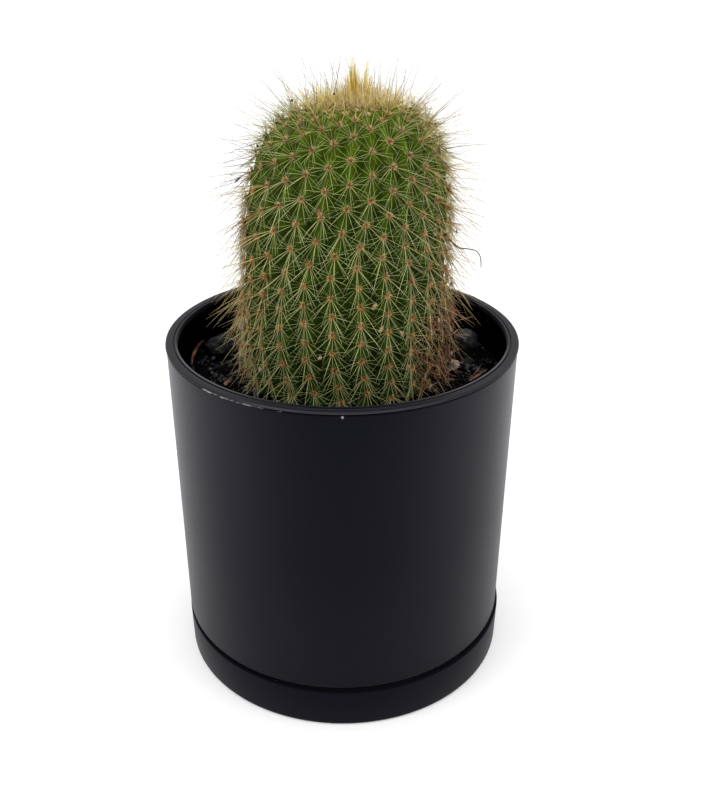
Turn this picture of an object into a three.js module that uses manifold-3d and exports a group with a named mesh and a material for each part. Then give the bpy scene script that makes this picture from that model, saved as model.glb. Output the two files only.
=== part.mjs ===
// Potted golden ball cactus: a columnar cactus in a grow pot, inside a cylindrical outer pot on a saucer.
// Millimetres, +Z up. The origin is the middle of the saucer's underside, on the pot's axis.
// Azimuth is measured from the front (-Y) towards +X. A place up the stem is its arc length above the soil.
import * as THREE from 'three';
import { mergeVertices } from 'three/addons/utils/BufferGeometryUtils.js';
import Module from 'manifold-3d';

const wasm = await Module();
wasm.setup();

const { lerp, smoothstep, degToRad, clamp } = THREE.MathUtils;

// Driving dimensions of the pots
const HEIGHT = 137.6;
const RIM_RADIUS = 67.5;
const SAUCER_HEIGHT = 16.7;
const SAUCER_TOP_RADIUS = 66.85;
const SAUCER_BASE_RADIUS = 66.5;
const SAUCER_WALL = 2.2;
const SAUCER_FLOOR = 2.4;
const SAUCER_SHIFT = 0.4;
const POT_TOP_RADIUS = 67.15;
const POT_LOW_RADIUS = 66.3;
const POT_LOW_EDGE = 18.6;
const POT_WALL = 2.6;
const FOOT_RADIUS = 62;
const FLANGE_DEPTH = 1.2;
const LINER_TOP_RADIUS = 62.9;
const LINER_BASE_RADIUS = 57;
const LINER_BASE = 12.5;
const LINER_WALL = 1.2;
const DRAIN_SLOTS = 6;
const DRAIN_SLOT = { length: 12, width: 3.4 };
const GAP = 0.3;
const ROUND = 56;

// Driving dimensions of the soil and what lies on it
const SOIL_TOP = HEIGHT - 16;
const SOIL_RELIEF = 0.7;
const SOIL_RINGS = [42, 47, 52, 57];

// Driving dimensions of the cactus
const RIBS = 26;
const STEM_COLUMNS = RIBS * 2;
const RIB_DEPTH = 2.6;
const TUBERCLE = 0.55;
const STEM_OUTLINE = [
  [36.4, 0], [37.8, 15], [38.1, 27], [37.2, 42], [36.8, 57], [35.7, 72],
  [33, 83], [28.5, 92.2], [21, 98.5], [11, 101.6], [0, 101.3],
];
const ROOT_OUTLINE = [[33.5, -6.5], [24, -12]];
const ROOT_DEPTH = 14;
const FIRST_AREOLE = 4.6;
const LOW_AREOLE_STEP = 6.6;
const HIGH_AREOLE_STEP = 7.7;
const STEP_CHANGE = { from: 38, to: 54 };
const CROWN_MARGIN = 6;
const STEM_LEAN = 2.4;
const CROWN_LEAN = 2.6;

// How the ribs and the rows of areoles wander over the stem: angles in degrees, places as arc lengths
const RIB_SPREAD = { foot: 0.047, crown: -0.09 };
const RIB_DRIFT = { foot: -4.8, crown: 0.7, from: 32, to: 82 };
const RIB_FLARE = { angle: 5, from: 4, to: 24 };
const RIB_SWAY = { angle: 3.9, sideAngle: 4.2, place: 53, sidePlace: 19, reach: 13 };
const ROW_TILT = { rise: 5.5, from: 46, to: 78, fadeFrom: 92, fadeTo: 116 };

// Driving dimensions of the needles
const NEEDLE_RADIUS = 0.45;
const NEEDLE_ROOT = 2.2;
const NEEDLE_SIDES = 3;
const NEEDLE_SEAT = { up: 1.5, across: 0.75, depth: 0.9 };
const NEEDLE_LEAST_RADIUS = 13;
const CROWN_NEEDLES = 16;
const CROWN_TIP = 239.4;
const SEED = 20260;

const charcoal = { color: 0x1e1e25, roughness: 0.5, metalness: 0 };
const finishes = {
  saucer: new THREE.MeshStandardMaterial(charcoal),
  outerPot: new THREE.MeshStandardMaterial(charcoal),
  growPot: new THREE.MeshStandardMaterial({ ...charcoal, roughness: 0.42 }),
  soil: new THREE.MeshStandardMaterial({ color: 0x14120f, roughness: 0.95, metalness: 0 }),
  cactus: new THREE.MeshStandardMaterial({ color: 0x4f7429, roughness: 0.6, metalness: 0 }),
  stone: new THREE.MeshStandardMaterial({ color: 0x44464b, roughness: 0.8, metalness: 0 }),
  bark: new THREE.MeshStandardMaterial({ color: 0x7d4e33, roughness: 0.85, metalness: 0 }),
  perlite: new THREE.MeshStandardMaterial({ color: 0xd9d2c6, roughness: 0.9, metalness: 0 }),
};

// A repeatable draw between 0 and 1
function seeded(seed) {
  let state = seed >>> 0;
  return () => {
    state = (state + 0x6d2b79f5) >>> 0;
    let mixed = Math.imul(state ^ (state >>> 15), 1 | state);
    mixed = (mixed + Math.imul(mixed ^ (mixed >>> 7), 61 | mixed)) ^ mixed;
    return ((mixed ^ (mixed >>> 14)) >>> 0) / 4294967296;
  };
}

const draw = seeded(SEED);
const drawBetween = (low, high) => lerp(low, high, draw());

// A closed solid from a geometry whose shared vertices are merged
function toSolid(geometry) {
  const bare = geometry.clone();
  bare.deleteAttribute('normal');
  bare.deleteAttribute('uv');
  const merged = mergeVertices(bare, 1e-4);
  const corners = Array.from(merged.index.array);
  const triVerts = [];
  for (let i = 0; i < corners.length; i += 3) {
    const [a, b, c] = corners.slice(i, i + 3);
    if (a !== b && b !== c && c !== a) triVerts.push(a, b, c);
  }
  const vertProperties = new Float32Array(merged.attributes.position.array);
  const mesh = new wasm.Mesh({ numProp: 3, vertProperties, triVerts: new Uint32Array(triVerts) });
  return new wasm.Manifold(mesh);
}

function toGeometry(solid) {
  const mesh = solid.getMesh();
  const geometry = new THREE.BufferGeometry();
  geometry.setAttribute('position', new THREE.BufferAttribute(mesh.vertProperties, 3));
  geometry.setIndex(new THREE.BufferAttribute(mesh.triVerts, 1));
  geometry.computeVertexNormals();
  return geometry;
}

function named(name, solid, finish) {
  const mesh = new THREE.Mesh(toGeometry(solid), finish);
  mesh.name = name;
  return mesh;
}

// Turns a list of [radius, height] pairs, from the axis up round the outside and back to the axis, about Z
function revolve(outline) {
  const points = outline.map(([radius, height]) => new THREE.Vector2(radius, height));
  return toSolid(new THREE.LatheGeometry(points, ROUND).rotateX(Math.PI / 2));
}

// Narrow drain slots in a ring, cut right through a floor
function drainSlots(ringRadius, low, high) {
  const slots = [];
  for (let i = 0; i < DRAIN_SLOTS; i += 1) {
    const slot = new THREE.BoxGeometry(DRAIN_SLOT.length, DRAIN_SLOT.width, high - low);
    slot.translate(ringRadius, 0, (low + high) / 2).rotateZ((i * 2 * Math.PI) / DRAIN_SLOTS);
    slots.push(toSolid(slot));
  }
  return wasm.Manifold.union(slots);
}

function makeSaucer() {
  const innerTop = SAUCER_TOP_RADIUS - SAUCER_WALL;
  const innerBase = SAUCER_BASE_RADIUS - SAUCER_WALL;
  return revolve([
    [0, 0],
    [SAUCER_BASE_RADIUS - 1.5, 0],
    [SAUCER_BASE_RADIUS - 0.45, 0.45],
    [SAUCER_BASE_RADIUS, 1.5],
    [SAUCER_TOP_RADIUS, SAUCER_HEIGHT - 0.4],
    [SAUCER_TOP_RADIUS - 0.4, SAUCER_HEIGHT],
    [innerTop + 0.3, SAUCER_HEIGHT],
    [innerTop, SAUCER_HEIGHT - 0.3],
    [innerBase, SAUCER_FLOOR + 1.2],
    [innerBase - 1.2, SAUCER_FLOOR],
    [0, SAUCER_FLOOR],
  ]).translate([SAUCER_SHIFT, 0, 0]);
}

function makeOuterPot() {
  const footBase = SAUCER_FLOOR + GAP;
  const underside = footBase + 1.5;
  const floor = underside + 3;
  const topEdge = HEIGHT - FLANGE_DEPTH - GAP;
  const innerFoot = FOOT_RADIUS - POT_WALL;
  const body = revolve([
    [0, underside],
    [FOOT_RADIUS - 6.5, underside],
    [FOOT_RADIUS - 5.7, footBase],
    [FOOT_RADIUS - 0.8, footBase],
    [FOOT_RADIUS, footBase + 0.8],
    [FOOT_RADIUS, POT_LOW_EDGE],
    [POT_LOW_RADIUS - 0.7, POT_LOW_EDGE],
    [POT_LOW_RADIUS, POT_LOW_EDGE + 0.7],
    [POT_TOP_RADIUS, topEdge - 0.35],
    [POT_TOP_RADIUS - 0.35, topEdge],
    [POT_TOP_RADIUS - POT_WALL, topEdge],
    [POT_LOW_RADIUS - POT_WALL, POT_LOW_EDGE + 4.5],
    [innerFoot, POT_LOW_EDGE],
    [innerFoot, floor + 1.2],
    [innerFoot - 1.2, floor],
    [0, floor],
  ]);
  return body.subtract(drainSlots(34, footBase, floor + 1));
}

function makeGrowPot() {
  const flangeBase = HEIGHT - FLANGE_DEPTH;
  const inside = LINER_TOP_RADIUS;
  const body = revolve([
    [0, LINER_BASE],
    [LINER_BASE_RADIUS - 0.8, LINER_BASE],
    [LINER_BASE_RADIUS + LINER_WALL, LINER_BASE + 2],
    [inside + LINER_WALL, flangeBase - 1],
    [inside + LINER_WALL, flangeBase],
    [RIM_RADIUS, flangeBase],
    [RIM_RADIUS, HEIGHT - 0.7],
    [RIM_RADIUS - 0.5, HEIGHT - 0.2],
    [inside + 1.8, HEIGHT - 0.25],
    [inside + 1.45, HEIGHT - 0.65],
    [inside + 1.1, HEIGHT - 0.25],
    [inside + 0.65, HEIGHT],
    [inside + 0.2, HEIGHT - 0.3],
    [inside, HEIGHT - 1.1],
    [inside, flangeBase - 1.5],
    [LINER_BASE_RADIUS, LINER_BASE + 3],
    [LINER_BASE_RADIUS - 1.5, LINER_BASE + 1.5],
    [0, LINER_BASE + 1.5],
  ]);
  return body.subtract(drainSlots(36, LINER_BASE - 1, LINER_BASE + 3));
}

// The stem's outline above the soil, evenly divisible by arc length
const outlinePoints = STEM_OUTLINE.map(([radius, height]) => new THREE.Vector2(radius, height));
const stemOutline = new THREE.SplineCurve(outlinePoints);
stemOutline.arcLengthDivisions = 800;
const STEM_ARC = stemOutline.getLength();

// The stem leans a little towards +X, and most of all at its crown
function stemAxisX(height) {
  const share = clamp(height / STEM_OUTLINE.at(-1)[1], 0, 1);
  return STEM_LEAN * share + CROWN_LEAN * share ** 6;
}

// Ribs stand closer under the crown, flare towards +X at the foot and sway the other way above it
function ribAzimuth(turns, arc) {
  const even = 2 * Math.PI * turns;
  const side = Math.sin(even);
  const climb = smoothstep(arc, RIB_DRIFT.from, RIB_DRIFT.to);
  const spread = lerp(RIB_SPREAD.foot, RIB_SPREAD.crown, climb) * side;
  const flare = RIB_FLARE.angle * (1 - smoothstep(arc, RIB_FLARE.from, RIB_FLARE.to));
  const offSway = (arc - RIB_SWAY.place - RIB_SWAY.sidePlace * side) / RIB_SWAY.reach;
  const sway = (RIB_SWAY.angle + RIB_SWAY.sideAngle * side) * Math.exp(-(offSway ** 2));
  return even + spread + degToRad(lerp(RIB_DRIFT.foot, RIB_DRIFT.crown, climb) + flare - sway);
}

// A row's arc length at one rib: the upper rows run lower towards +X
function rowArc(turns, arc) {
  const grows = smoothstep(arc, ROW_TILT.from, ROW_TILT.to);
  const fades = smoothstep(arc, ROW_TILT.fadeFrom, ROW_TILT.fadeTo);
  return arc - ROW_TILT.rise * Math.sin(2 * Math.PI * turns) * grows * (1 - fades);
}

// Half the distance between two areoles on one rib, which the next rib's are shifted by
function halfAreoleStep(arc) {
  const change = smoothstep(arc, STEP_CHANGE.from, STEP_CHANGE.to);
  const full = lerp(LOW_AREOLE_STEP, HIGH_AREOLE_STEP, change);
  return 0.5 * Math.min(full, 0.3 * (STEM_ARC - arc) + 1.2);
}

function areoleArcs() {
  const arcs = [FIRST_AREOLE];
  while (arcs.at(-1) + halfAreoleStep(arcs.at(-1)) < STEM_ARC - CROWN_MARGIN) {
    arcs.push(arcs.at(-1) + halfAreoleStep(arcs.at(-1)));
  }
  return arcs;
}

function stemPoint(radius, height, azimuth) {
  return new THREE.Vector3(
    stemAxisX(height) + radius * Math.sin(azimuth),
    -radius * Math.cos(azimuth),
    SOIL_TOP + height,
  );
}

// Frame of the stem's surface at an areole: its place, its normal, up the rib and across the rib
function areoleFrame(rib, row) {
  const arc = rowArc(rib / RIBS, row);
  const along = arc / STEM_ARC;
  const { x: radius, y: height } = stemOutline.getPointAt(along);
  const slope = stemOutline.getTangentAt(along);
  const azimuth = ribAzimuth(rib / RIBS, arc);
  const outward = new THREE.Vector3(Math.sin(azimuth), -Math.cos(azimuth), 0);
  const up = outward.clone().multiplyScalar(slope.x).setZ(slope.y).normalize();
  const normal = outward.clone().multiplyScalar(slope.y).setZ(-slope.x).normalize();
  const across = new THREE.Vector3().crossVectors(up, normal);
  return { place: stemPoint(radius, height, azimuth), normal, up, across };
}

const isAreole = (row, rib) => (row + rib) % 2 === 0;

// Whether a cell's diagonal climbs from its left edge, so that diagonals meet at the areoles
const risesFromLeft = (row, column) => (row + Math.ceil(column / 2) + column) % 2 === 0;

// A vertex of the stem where a column, on a rib's crest or in a valley, crosses a row of areoles
function rowVertex(row, arc, column) {
  const turns = column / STEM_COLUMNS;
  const local = rowArc(turns, arc);
  const { x: radius, y: height } = stemOutline.getPointAt(local / STEM_ARC);
  const bump = isAreole(row, column / 2) ? TUBERCLE : -TUBERCLE;
  const rise = column % 2 === 0 ? bump : -RIB_DEPTH;
  return stemPoint(radius + rise * clamp(radius / 30, 0.1, 1), height, ribAzimuth(turns, local));
}

// Rings of vertices on rib crests and in the valleys between them, closed by one vertex at each end
function makeStemBody(arcs) {
  const columns = STEM_COLUMNS;
  const footVertex = (radius, height, column) => stemPoint(radius, height, ribAzimuth(column / columns, 0));
  const rings = ROOT_OUTLINE.toReversed().map(([radius, height]) => ({
    vertex: (column) => footVertex(radius, height, column),
  }));
  const [soilRadius] = STEM_OUTLINE[0];
  rings.push({ vertex: (column) => footVertex(soilRadius - (column % 2) * (RIB_DEPTH / 2), 0, column) });
  arcs.forEach((arc, row) => {
    rings.push({ row, vertex: (column) => rowVertex(row, arc, column) });
  });
  const positions = [];
  for (const { vertex } of rings) {
    for (let column = 0; column < columns; column += 1) positions.push(...vertex(column).toArray());
  }
  const foot = positions.length / 3;
  positions.push(...stemPoint(0, -ROOT_DEPTH, 0).toArray());
  positions.push(...stemPoint(0, STEM_OUTLINE.at(-1)[1], 0).toArray());
  const faces = [];
  const at = (ring, column) => ring * columns + (column % columns);
  for (let column = 0; column < columns; column += 1) {
    faces.push(foot, at(0, column + 1), at(0, column));
    faces.push(foot + 1, at(rings.length - 1, column), at(rings.length - 1, column + 1));
    for (let ring = 0; ring < rings.length - 1; ring += 1) {
      const [a, b] = [at(ring, column), at(ring, column + 1)];
      const [c, d] = [at(ring + 1, column + 1), at(ring + 1, column)];
      const rises = risesFromLeft(rings[ring].row ?? ring, column);
      faces.push(...(rises ? [a, b, c, a, c, d] : [a, b, d, b, c, d]));
    }
  }
  const geometry = new THREE.BufferGeometry();
  geometry.setAttribute('position', new THREE.Float32BufferAttribute(positions, 3));
  geometry.setIndex(faces);
  return toSolid(geometry);
}

// Where a needle springs from, a little above its areole and to one side of the rib's crest
function needleSeat({ place, normal, up, across }, side) {
  return place.clone()
    .addScaledVector(up, NEEDLE_SEAT.up)
    .addScaledVector(across, side * NEEDLE_SEAT.across)
    .addScaledVector(normal, -NEEDLE_SEAT.depth);
}

// A slim three-sided needle from its root below the surface, through its seat, to its tip
function needle(seat, direction, length) {
  const total = length + NEEDLE_ROOT;
  const cone = new THREE.ConeGeometry(NEEDLE_RADIUS, total, NEEDLE_SIDES).translate(0, total / 2, 0);
  const turn = new THREE.Quaternion().setFromUnitVectors(new THREE.Vector3(0, 1, 0), direction);
  const root = seat.clone().addScaledVector(direction, -NEEDLE_ROOT);
  return toSolid(cone.applyQuaternion(turn).translate(root.x, root.y, root.z));
}

// Long needles hang on the lower stem and rise towards the crown
function centralDirection({ normal, up, across }, arc) {
  const rise = lerp(-0.75, 0.55, smoothstep(arc, 45, 112));
  return normal.clone()
    .addScaledVector(up, rise)
    .addScaledVector(across, drawBetween(-0.35, 0.35))
    .normalize();
}

// Short needles spread to either side of the rib
function radialDirection({ normal, up, across }, side) {
  return normal.clone()
    .multiplyScalar(0.8)
    .addScaledVector(across, side)
    .addScaledVector(up, drawBetween(-0.5, 0.2))
    .normalize();
}

// Needles near the soil turn up until their tips are clear of it
function clearOfSoil(place, direction, length) {
  const lowest = SOIL_TOP + 5;
  const least = (lowest - place.z) / length;
  if (direction.z >= least) return direction;
  return direction.clone().setZ(Math.max(least, -0.1)).normalize();
}

// One long needle at each areole, and a short one on one side of every second areole
function makeNeedles(arcs) {
  const needles = [];
  arcs.forEach((arc, row) => {
    if (stemOutline.getPointAt(arc / STEM_ARC).x < NEEDLE_LEAST_RADIUS) return;
    for (let rib = 0; rib < RIBS; rib += 1) {
      if (!isAreole(row, rib)) continue;
      const frame = areoleFrame(rib, arc);
      const side = rib % 4 < 2 ? 1 : -1;
      const long = arc < 8 ? 9 : drawBetween(15, 17.5);
      const longSeat = needleSeat(frame, -side);
      const longAim = clearOfSoil(longSeat, centralDirection(frame, arc), long);
      needles.push(needle(longSeat, longAim, long));
      const short = drawBetween(8.5, 11);
      const hasShort = (Math.floor(row / 2) + rib) % 2 === 0 && arc < STEM_ARC - 22;
      if (!hasShort) continue;
      const shortSeat = needleSeat(frame, side);
      const shortAim = clearOfSoil(shortSeat, radialDirection(frame, side), short);
      needles.push(needle(shortSeat, shortAim, short));
    }
  });
  return needles;
}

// The crown's tuft: a spiral of near-upright needles, the middle ones tallest
function makeCrownTuft() {
  const goldenTurn = Math.PI * (3 - Math.sqrt(5));
  const needles = [];
  for (let i = 0; i < CROWN_NEEDLES; i += 1) {
    const share = (i + 0.5) / CROWN_NEEDLES;
    const radius = 8.5 * Math.sqrt(share);
    const azimuth = i * goldenTurn;
    const place = stemPoint(radius, STEM_OUTLINE.at(-1)[1], azimuth);
    const outward = new THREE.Vector3(Math.sin(azimuth), -Math.cos(azimuth), 0);
    const direction = outward.multiplyScalar(0.38 * share).setZ(1).normalize();
    const tipHeight = CROWN_TIP - 6 * share;
    needles.push(needle(place, direction, (tipHeight - place.z) / direction.z));
  }
  return needles;
}

// The largest closed body of a join
function wholeBody(solid) {
  const bodies = solid.decompose();
  return bodies.reduce((best, body) => (body.volume() > best.volume() ? body : best));
}

function makeCactus() {
  const arcs = areoleArcs();
  const needles = [...makeNeedles(arcs), ...makeCrownTuft()];
  return wholeBody(makeStemBody(arcs).add(wasm.Manifold.union(needles)));
}

// The plain hole that the stem's foot stands in
function makeStemHole() {
  const allRound = 3 * GAP;
  const mouthRadius = STEM_OUTLINE[0][0] + allRound;
  const outline = [
    [0, -ROOT_DEPTH - GAP],
    ...ROOT_OUTLINE.toReversed().map(([radius, height]) => [radius + allRound, height - GAP]),
    [mouthRadius, -GAP],
    [mouthRadius, 8],
    [0, 8],
  ];
  return revolve(outline.map(([radius, height]) => [radius, SOIL_TOP + height]));
}

// Low lumps of the soil's surface
function soilHeight(x, y) {
  const broad = Math.sin(x * 0.31 + y * 0.17) + Math.sin(y * 0.37 - x * 0.13 + 1.3);
  const fine = Math.sin((x + y) * 0.53);
  return SOIL_TOP + SOIL_RELIEF * (broad + fine);
}

function makeSoilBody() {
  const radii = [...SOIL_RINGS, soilEdge(SOIL_TOP)];
  const positions = [];
  const addRing = (radius, heightAt) => {
    for (let i = 0; i < ROUND; i += 1) {
      const azimuth = (i * 2 * Math.PI) / ROUND;
      const [x, y] = [radius * Math.cos(azimuth), radius * Math.sin(azimuth)];
      positions.push(x, y, heightAt(x, y));
    }
  };
  const floor = LINER_BASE + 1.5 + GAP;
  addRing(LINER_BASE_RADIUS - 1.5 - GAP, () => floor);
  addRing(LINER_BASE_RADIUS - GAP, () => floor + 1.6);
  radii.toReversed().forEach((radius) => addRing(radius, soilHeight));
  const ringCount = positions.length / 3 / ROUND;
  const foot = positions.length / 3;
  positions.push(0, 0, floor, 0, 0, SOIL_TOP);
  const at = (ring, i) => ring * ROUND + (i % ROUND);
  const faces = [];
  for (let i = 0; i < ROUND; i += 1) {
    faces.push(foot, at(0, i + 1), at(0, i));
    faces.push(foot + 1, at(ringCount - 1, i), at(ringCount - 1, i + 1));
    for (let ring = 0; ring < ringCount - 1; ring += 1) {
      const [a, b] = [at(ring, i), at(ring, i + 1)];
      const [c, d] = [at(ring + 1, i + 1), at(ring + 1, i)];
      faces.push(a, b, c, a, c, d);
    }
  }
  const geometry = new THREE.BufferGeometry();
  geometry.setAttribute('position', new THREE.Float32BufferAttribute(positions, 3));
  geometry.setIndex(faces);
  return toSolid(geometry);
}

// The soil's radius at a height, a gap inside the grow pot's tapering wall
function soilEdge(height) {
  const low = LINER_BASE + 3;
  const high = HEIGHT - FLANGE_DEPTH - 1.5;
  return lerp(LINER_BASE_RADIUS, LINER_TOP_RADIUS, (height - low) / (high - low)) - GAP;
}

// An uneven lump: an icosahedral ball stretched to its half sizes and knocked about by a formula
function lump({ place, halfSizes, turn, roughness, detail }, grow = 0) {
  const ball = new THREE.IcosahedronGeometry(1, detail);
  const points = ball.attributes.position;
  for (let i = 0; i < points.count; i += 1) {
    const [x, y, z] = [points.getX(i), points.getY(i), points.getZ(i)];
    const dents = Math.sin(3.1 * x + 5.3 * y) * Math.cos(4.2 * z - 2.3 * x) + 0.4 * Math.sin(7 * y);
    const knock = 1 + roughness * dents;
    const [width, depth, height] = halfSizes.map((half) => half * knock + grow);
    points.setXYZ(i, x * width, y * depth, z * height);
  }
  return toSolid(ball.rotateZ(degToRad(turn)).translate(...place));
}

// A strip of bark bent along a curve, with a flat section
function barkStrip({ route, width, thickness }, grow = 0) {
  const curve = new THREE.CatmullRomCurve3(route.map((point) => new THREE.Vector3(...point)));
  const [half, thin] = [width / 2 + grow, thickness / 2 + grow];
  const section = new THREE.Shape([
    new THREE.Vector2(-thin, -half),
    new THREE.Vector2(thin, -half * 0.8),
    new THREE.Vector2(thin * 1.2, half * 0.8),
    new THREE.Vector2(-thin, half),
  ]);
  return toSolid(new THREE.ExtrudeGeometry(section, { steps: 8, extrudePath: curve }));
}

const stones = [
  {
    name: 'stone_left',
    place: [-49.5, 17.5, SOIL_TOP + 3.2],
    halfSizes: [6.7, 5.6, 4.6],
    turn: 12,
    roughness: 0.1,
    detail: 2,
  },
  {
    name: 'stone_right',
    place: [50.3, 21.5, SOIL_TOP + 3],
    halfSizes: [4.9, 4.6, 4.4],
    turn: -20,
    roughness: 0.09,
    detail: 2,
  },
  {
    name: 'pebble_right',
    place: [49.6, 4, SOIL_TOP + 1.2],
    halfSizes: [2.6, 2.2, 2],
    turn: 35,
    roughness: 0.12,
    detail: 1,
  },
];
const perlite = {
  place: [43.6, 0, SOIL_TOP + 1.6],
  halfSizes: [1.9, 1.8, 2.1],
  turn: 10,
  roughness: 0.16,
  detail: 1,
};
const barkLeft = {
  route: [
    [-59.2, -1, SOIL_TOP + 1.9],
    [-59.4, 5, SOIL_TOP + 3.4],
    [-58.4, 11, SOIL_TOP + 4.6],
    [-56.8, 15.5, SOIL_TOP + 5],
  ],
  width: 1.7,
  thickness: 0.9,
};
const barkRight = {
  route: [
    [48.6, -13.2, SOIL_TOP + 2],
    [52.2, -9, SOIL_TOP + 2.5],
    [56, -4.4, SOIL_TOP + 2.6],
  ],
  width: 2.6,
  thickness: 1.2,
};

// The soil with its stem hole and the seats of what is bedded in it
function makeSoil() {
  const bedded = [...stones, perlite].map((item) => lump(item, GAP));
  bedded.push(barkStrip(barkLeft, GAP), barkStrip(barkRight, GAP));
  return wholeBody(makeSoilBody().subtract(wasm.Manifold.union([makeStemHole(), ...bedded])));
}

const pottedCactus = new THREE.Group();
pottedCactus.add(
  named('saucer', makeSaucer(), finishes.saucer),
  named('outer_pot', makeOuterPot(), finishes.outerPot),
  named('grow_pot', makeGrowPot(), finishes.growPot),
  named('soil', makeSoil(), finishes.soil),
  named('cactus', makeCactus(), finishes.cactus),
  ...stones.map((stone) => named(stone.name, lump(stone), finishes.stone)),
  named('perlite_right', lump(perlite), finishes.perlite),
  named('bark_strip_left', barkStrip(barkLeft), finishes.bark),
  named('bark_chip_right', barkStrip(barkRight), finishes.bark),
);

export default pottedCactus;
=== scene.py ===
"""Potted golden ball cactus: the looks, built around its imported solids.

Sizes are in millimetres and become metres where a mesh is made. Azimuth is measured from the front
(-Y) towards +X, and a place up the stem is its arc length above the soil.
"""

import logging
import math
import random
from bisect import bisect_left, bisect_right
from collections.abc import Iterator, Sequence
from dataclasses import dataclass, field, replace
from enum import Enum

import bmesh
import bpy
from mathutils import Matrix, Vector, noise


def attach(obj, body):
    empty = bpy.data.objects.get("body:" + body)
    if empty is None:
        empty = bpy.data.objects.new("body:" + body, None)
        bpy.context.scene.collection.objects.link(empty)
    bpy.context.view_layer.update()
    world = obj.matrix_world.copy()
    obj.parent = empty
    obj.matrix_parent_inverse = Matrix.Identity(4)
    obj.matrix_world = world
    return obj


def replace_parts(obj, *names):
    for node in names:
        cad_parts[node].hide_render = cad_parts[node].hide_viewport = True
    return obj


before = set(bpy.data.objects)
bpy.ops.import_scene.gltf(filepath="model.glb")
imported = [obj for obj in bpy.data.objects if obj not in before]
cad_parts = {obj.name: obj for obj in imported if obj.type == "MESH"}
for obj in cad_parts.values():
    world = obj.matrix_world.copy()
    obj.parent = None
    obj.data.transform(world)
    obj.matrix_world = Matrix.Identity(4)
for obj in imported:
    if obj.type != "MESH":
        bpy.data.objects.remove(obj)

log = logging.getLogger("potted_cactus")

MM = 0.001
BODY = "root"
SEED = 20260
TURN = 2 * math.pi
GOLDEN_TURN = math.pi * (3 - math.sqrt(5))
UP = Vector((0, 0, 1))

BMesh = bmesh.types.BMesh
Socket = bpy.types.NodeSocket
Material = bpy.types.Material
Span = tuple[float, float]
Point = tuple[float, float, float]
Colour = tuple[float, float, float]


class Slot(Enum):
    """The record's material slots, one named for each piece."""

    SHELL = "charcoal_shell"
    LINER = "liner_black"
    SOIL = "potting_mix"
    SKIN = "cactus_skin"
    STONE = "dark_stone"
    PERLITE = "perlite"
    BARK = "bark"


# Small helpers


def smoothstep(value: float, low: float, high: float) -> float:
    """Returns 0 below low and 1 above high, with a smooth climb between."""
    share = min(1.0, max(0.0, (value - low) / (high - low)))
    return share * share * (3 - 2 * share)


def lerp(low: float, high: float, share: float) -> float:
    """Returns the value that lies share of the way from low to high."""
    return low + (high - low) * share


def outward(azimuth: float) -> Vector:
    """Returns the level direction that points away from the axis at an azimuth."""
    return Vector((math.sin(azimuth), -math.cos(azimuth), 0))


def side_of(direction: Vector) -> Vector:
    """Returns a direction square to another one."""
    other = UP if abs(direction.z) < 0.9 else Vector((1, 0, 0))
    return direction.cross(other).normalized()


def on_curve(points: Sequence, span: int, share: float) -> tuple:
    """Returns the place and the slope on one span of a smooth curve.

    Args:
        points: What the curve passes through, as numbers or as vectors.
        span: Which span, counted from 0.
        share: How far along the span, from 0 to 1.

    Returns:
        The place and the slope, each of the points' own kind.
    """
    before, start = points[max(span - 1, 0)], points[span]
    end, after = points[span + 1], points[min(span + 2, len(points) - 1)]
    leave, arrive = (end - before) / 2, (after - start) / 2
    cube = 2 * start - 2 * end + leave + arrive
    square = -3 * start + 3 * end - 2 * leave - arrive
    place = cube * share**3 + square * share**2 + leave * share + start
    return place, cube * (3 * share * share) + square * (2 * share) + leave


def along_route(route: Sequence[Vector], share: float) -> tuple[Vector, Vector]:
    """Returns the place and the direction a share of the way along a smooth route."""
    spans = len(route) - 1
    span = min(int(share * spans), spans - 1)
    place, slope = on_curve(route, span, share * spans - span)
    return place, slope.normalized()


def new_piece(name: str, bm: BMesh, material: Material, slot: Slot) -> bpy.types.Object:
    """Makes a finished piece from a bmesh, and lets it ride on the plant's one body.

    Args:
        name: The piece's name.
        bm: Its mesh in millimetres, which is freed here.
        material: Its finish.
        slot: The record's material slot that the finish belongs to; it is not used.

    Returns:
        The new object, which sits at the origin.
    """
    bmesh.ops.scale(bm, vec=(MM, MM, MM), verts=bm.verts)
    mesh = bpy.data.meshes.new(name)
    bm.to_mesh(mesh)
    bm.free()
    mesh.shade_smooth()
    mesh.materials.append(material)
    piece = bpy.data.objects.new(name, mesh)
    bpy.context.scene.collection.objects.link(piece)
    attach(piece, BODY)
    mesh.calc_loop_triangles()
    log.info("%s: %d triangles", name, len(mesh.loop_triangles))
    return piece


@dataclass(frozen=True)
class Corner:
    """A corner of an outline that is turned about the axis: radius, height and fillet."""

    radius: float
    height: float
    fillet: float = 0.0

    def holds(self, place: Vector) -> bool:
        """Tells whether a place lies on the ring that the corner was turned into."""
        near = 1e-3
        off_axis = math.hypot(place.x, place.y)
        return abs(place.z - self.height) < near and abs(off_axis - self.radius) < near


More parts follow.
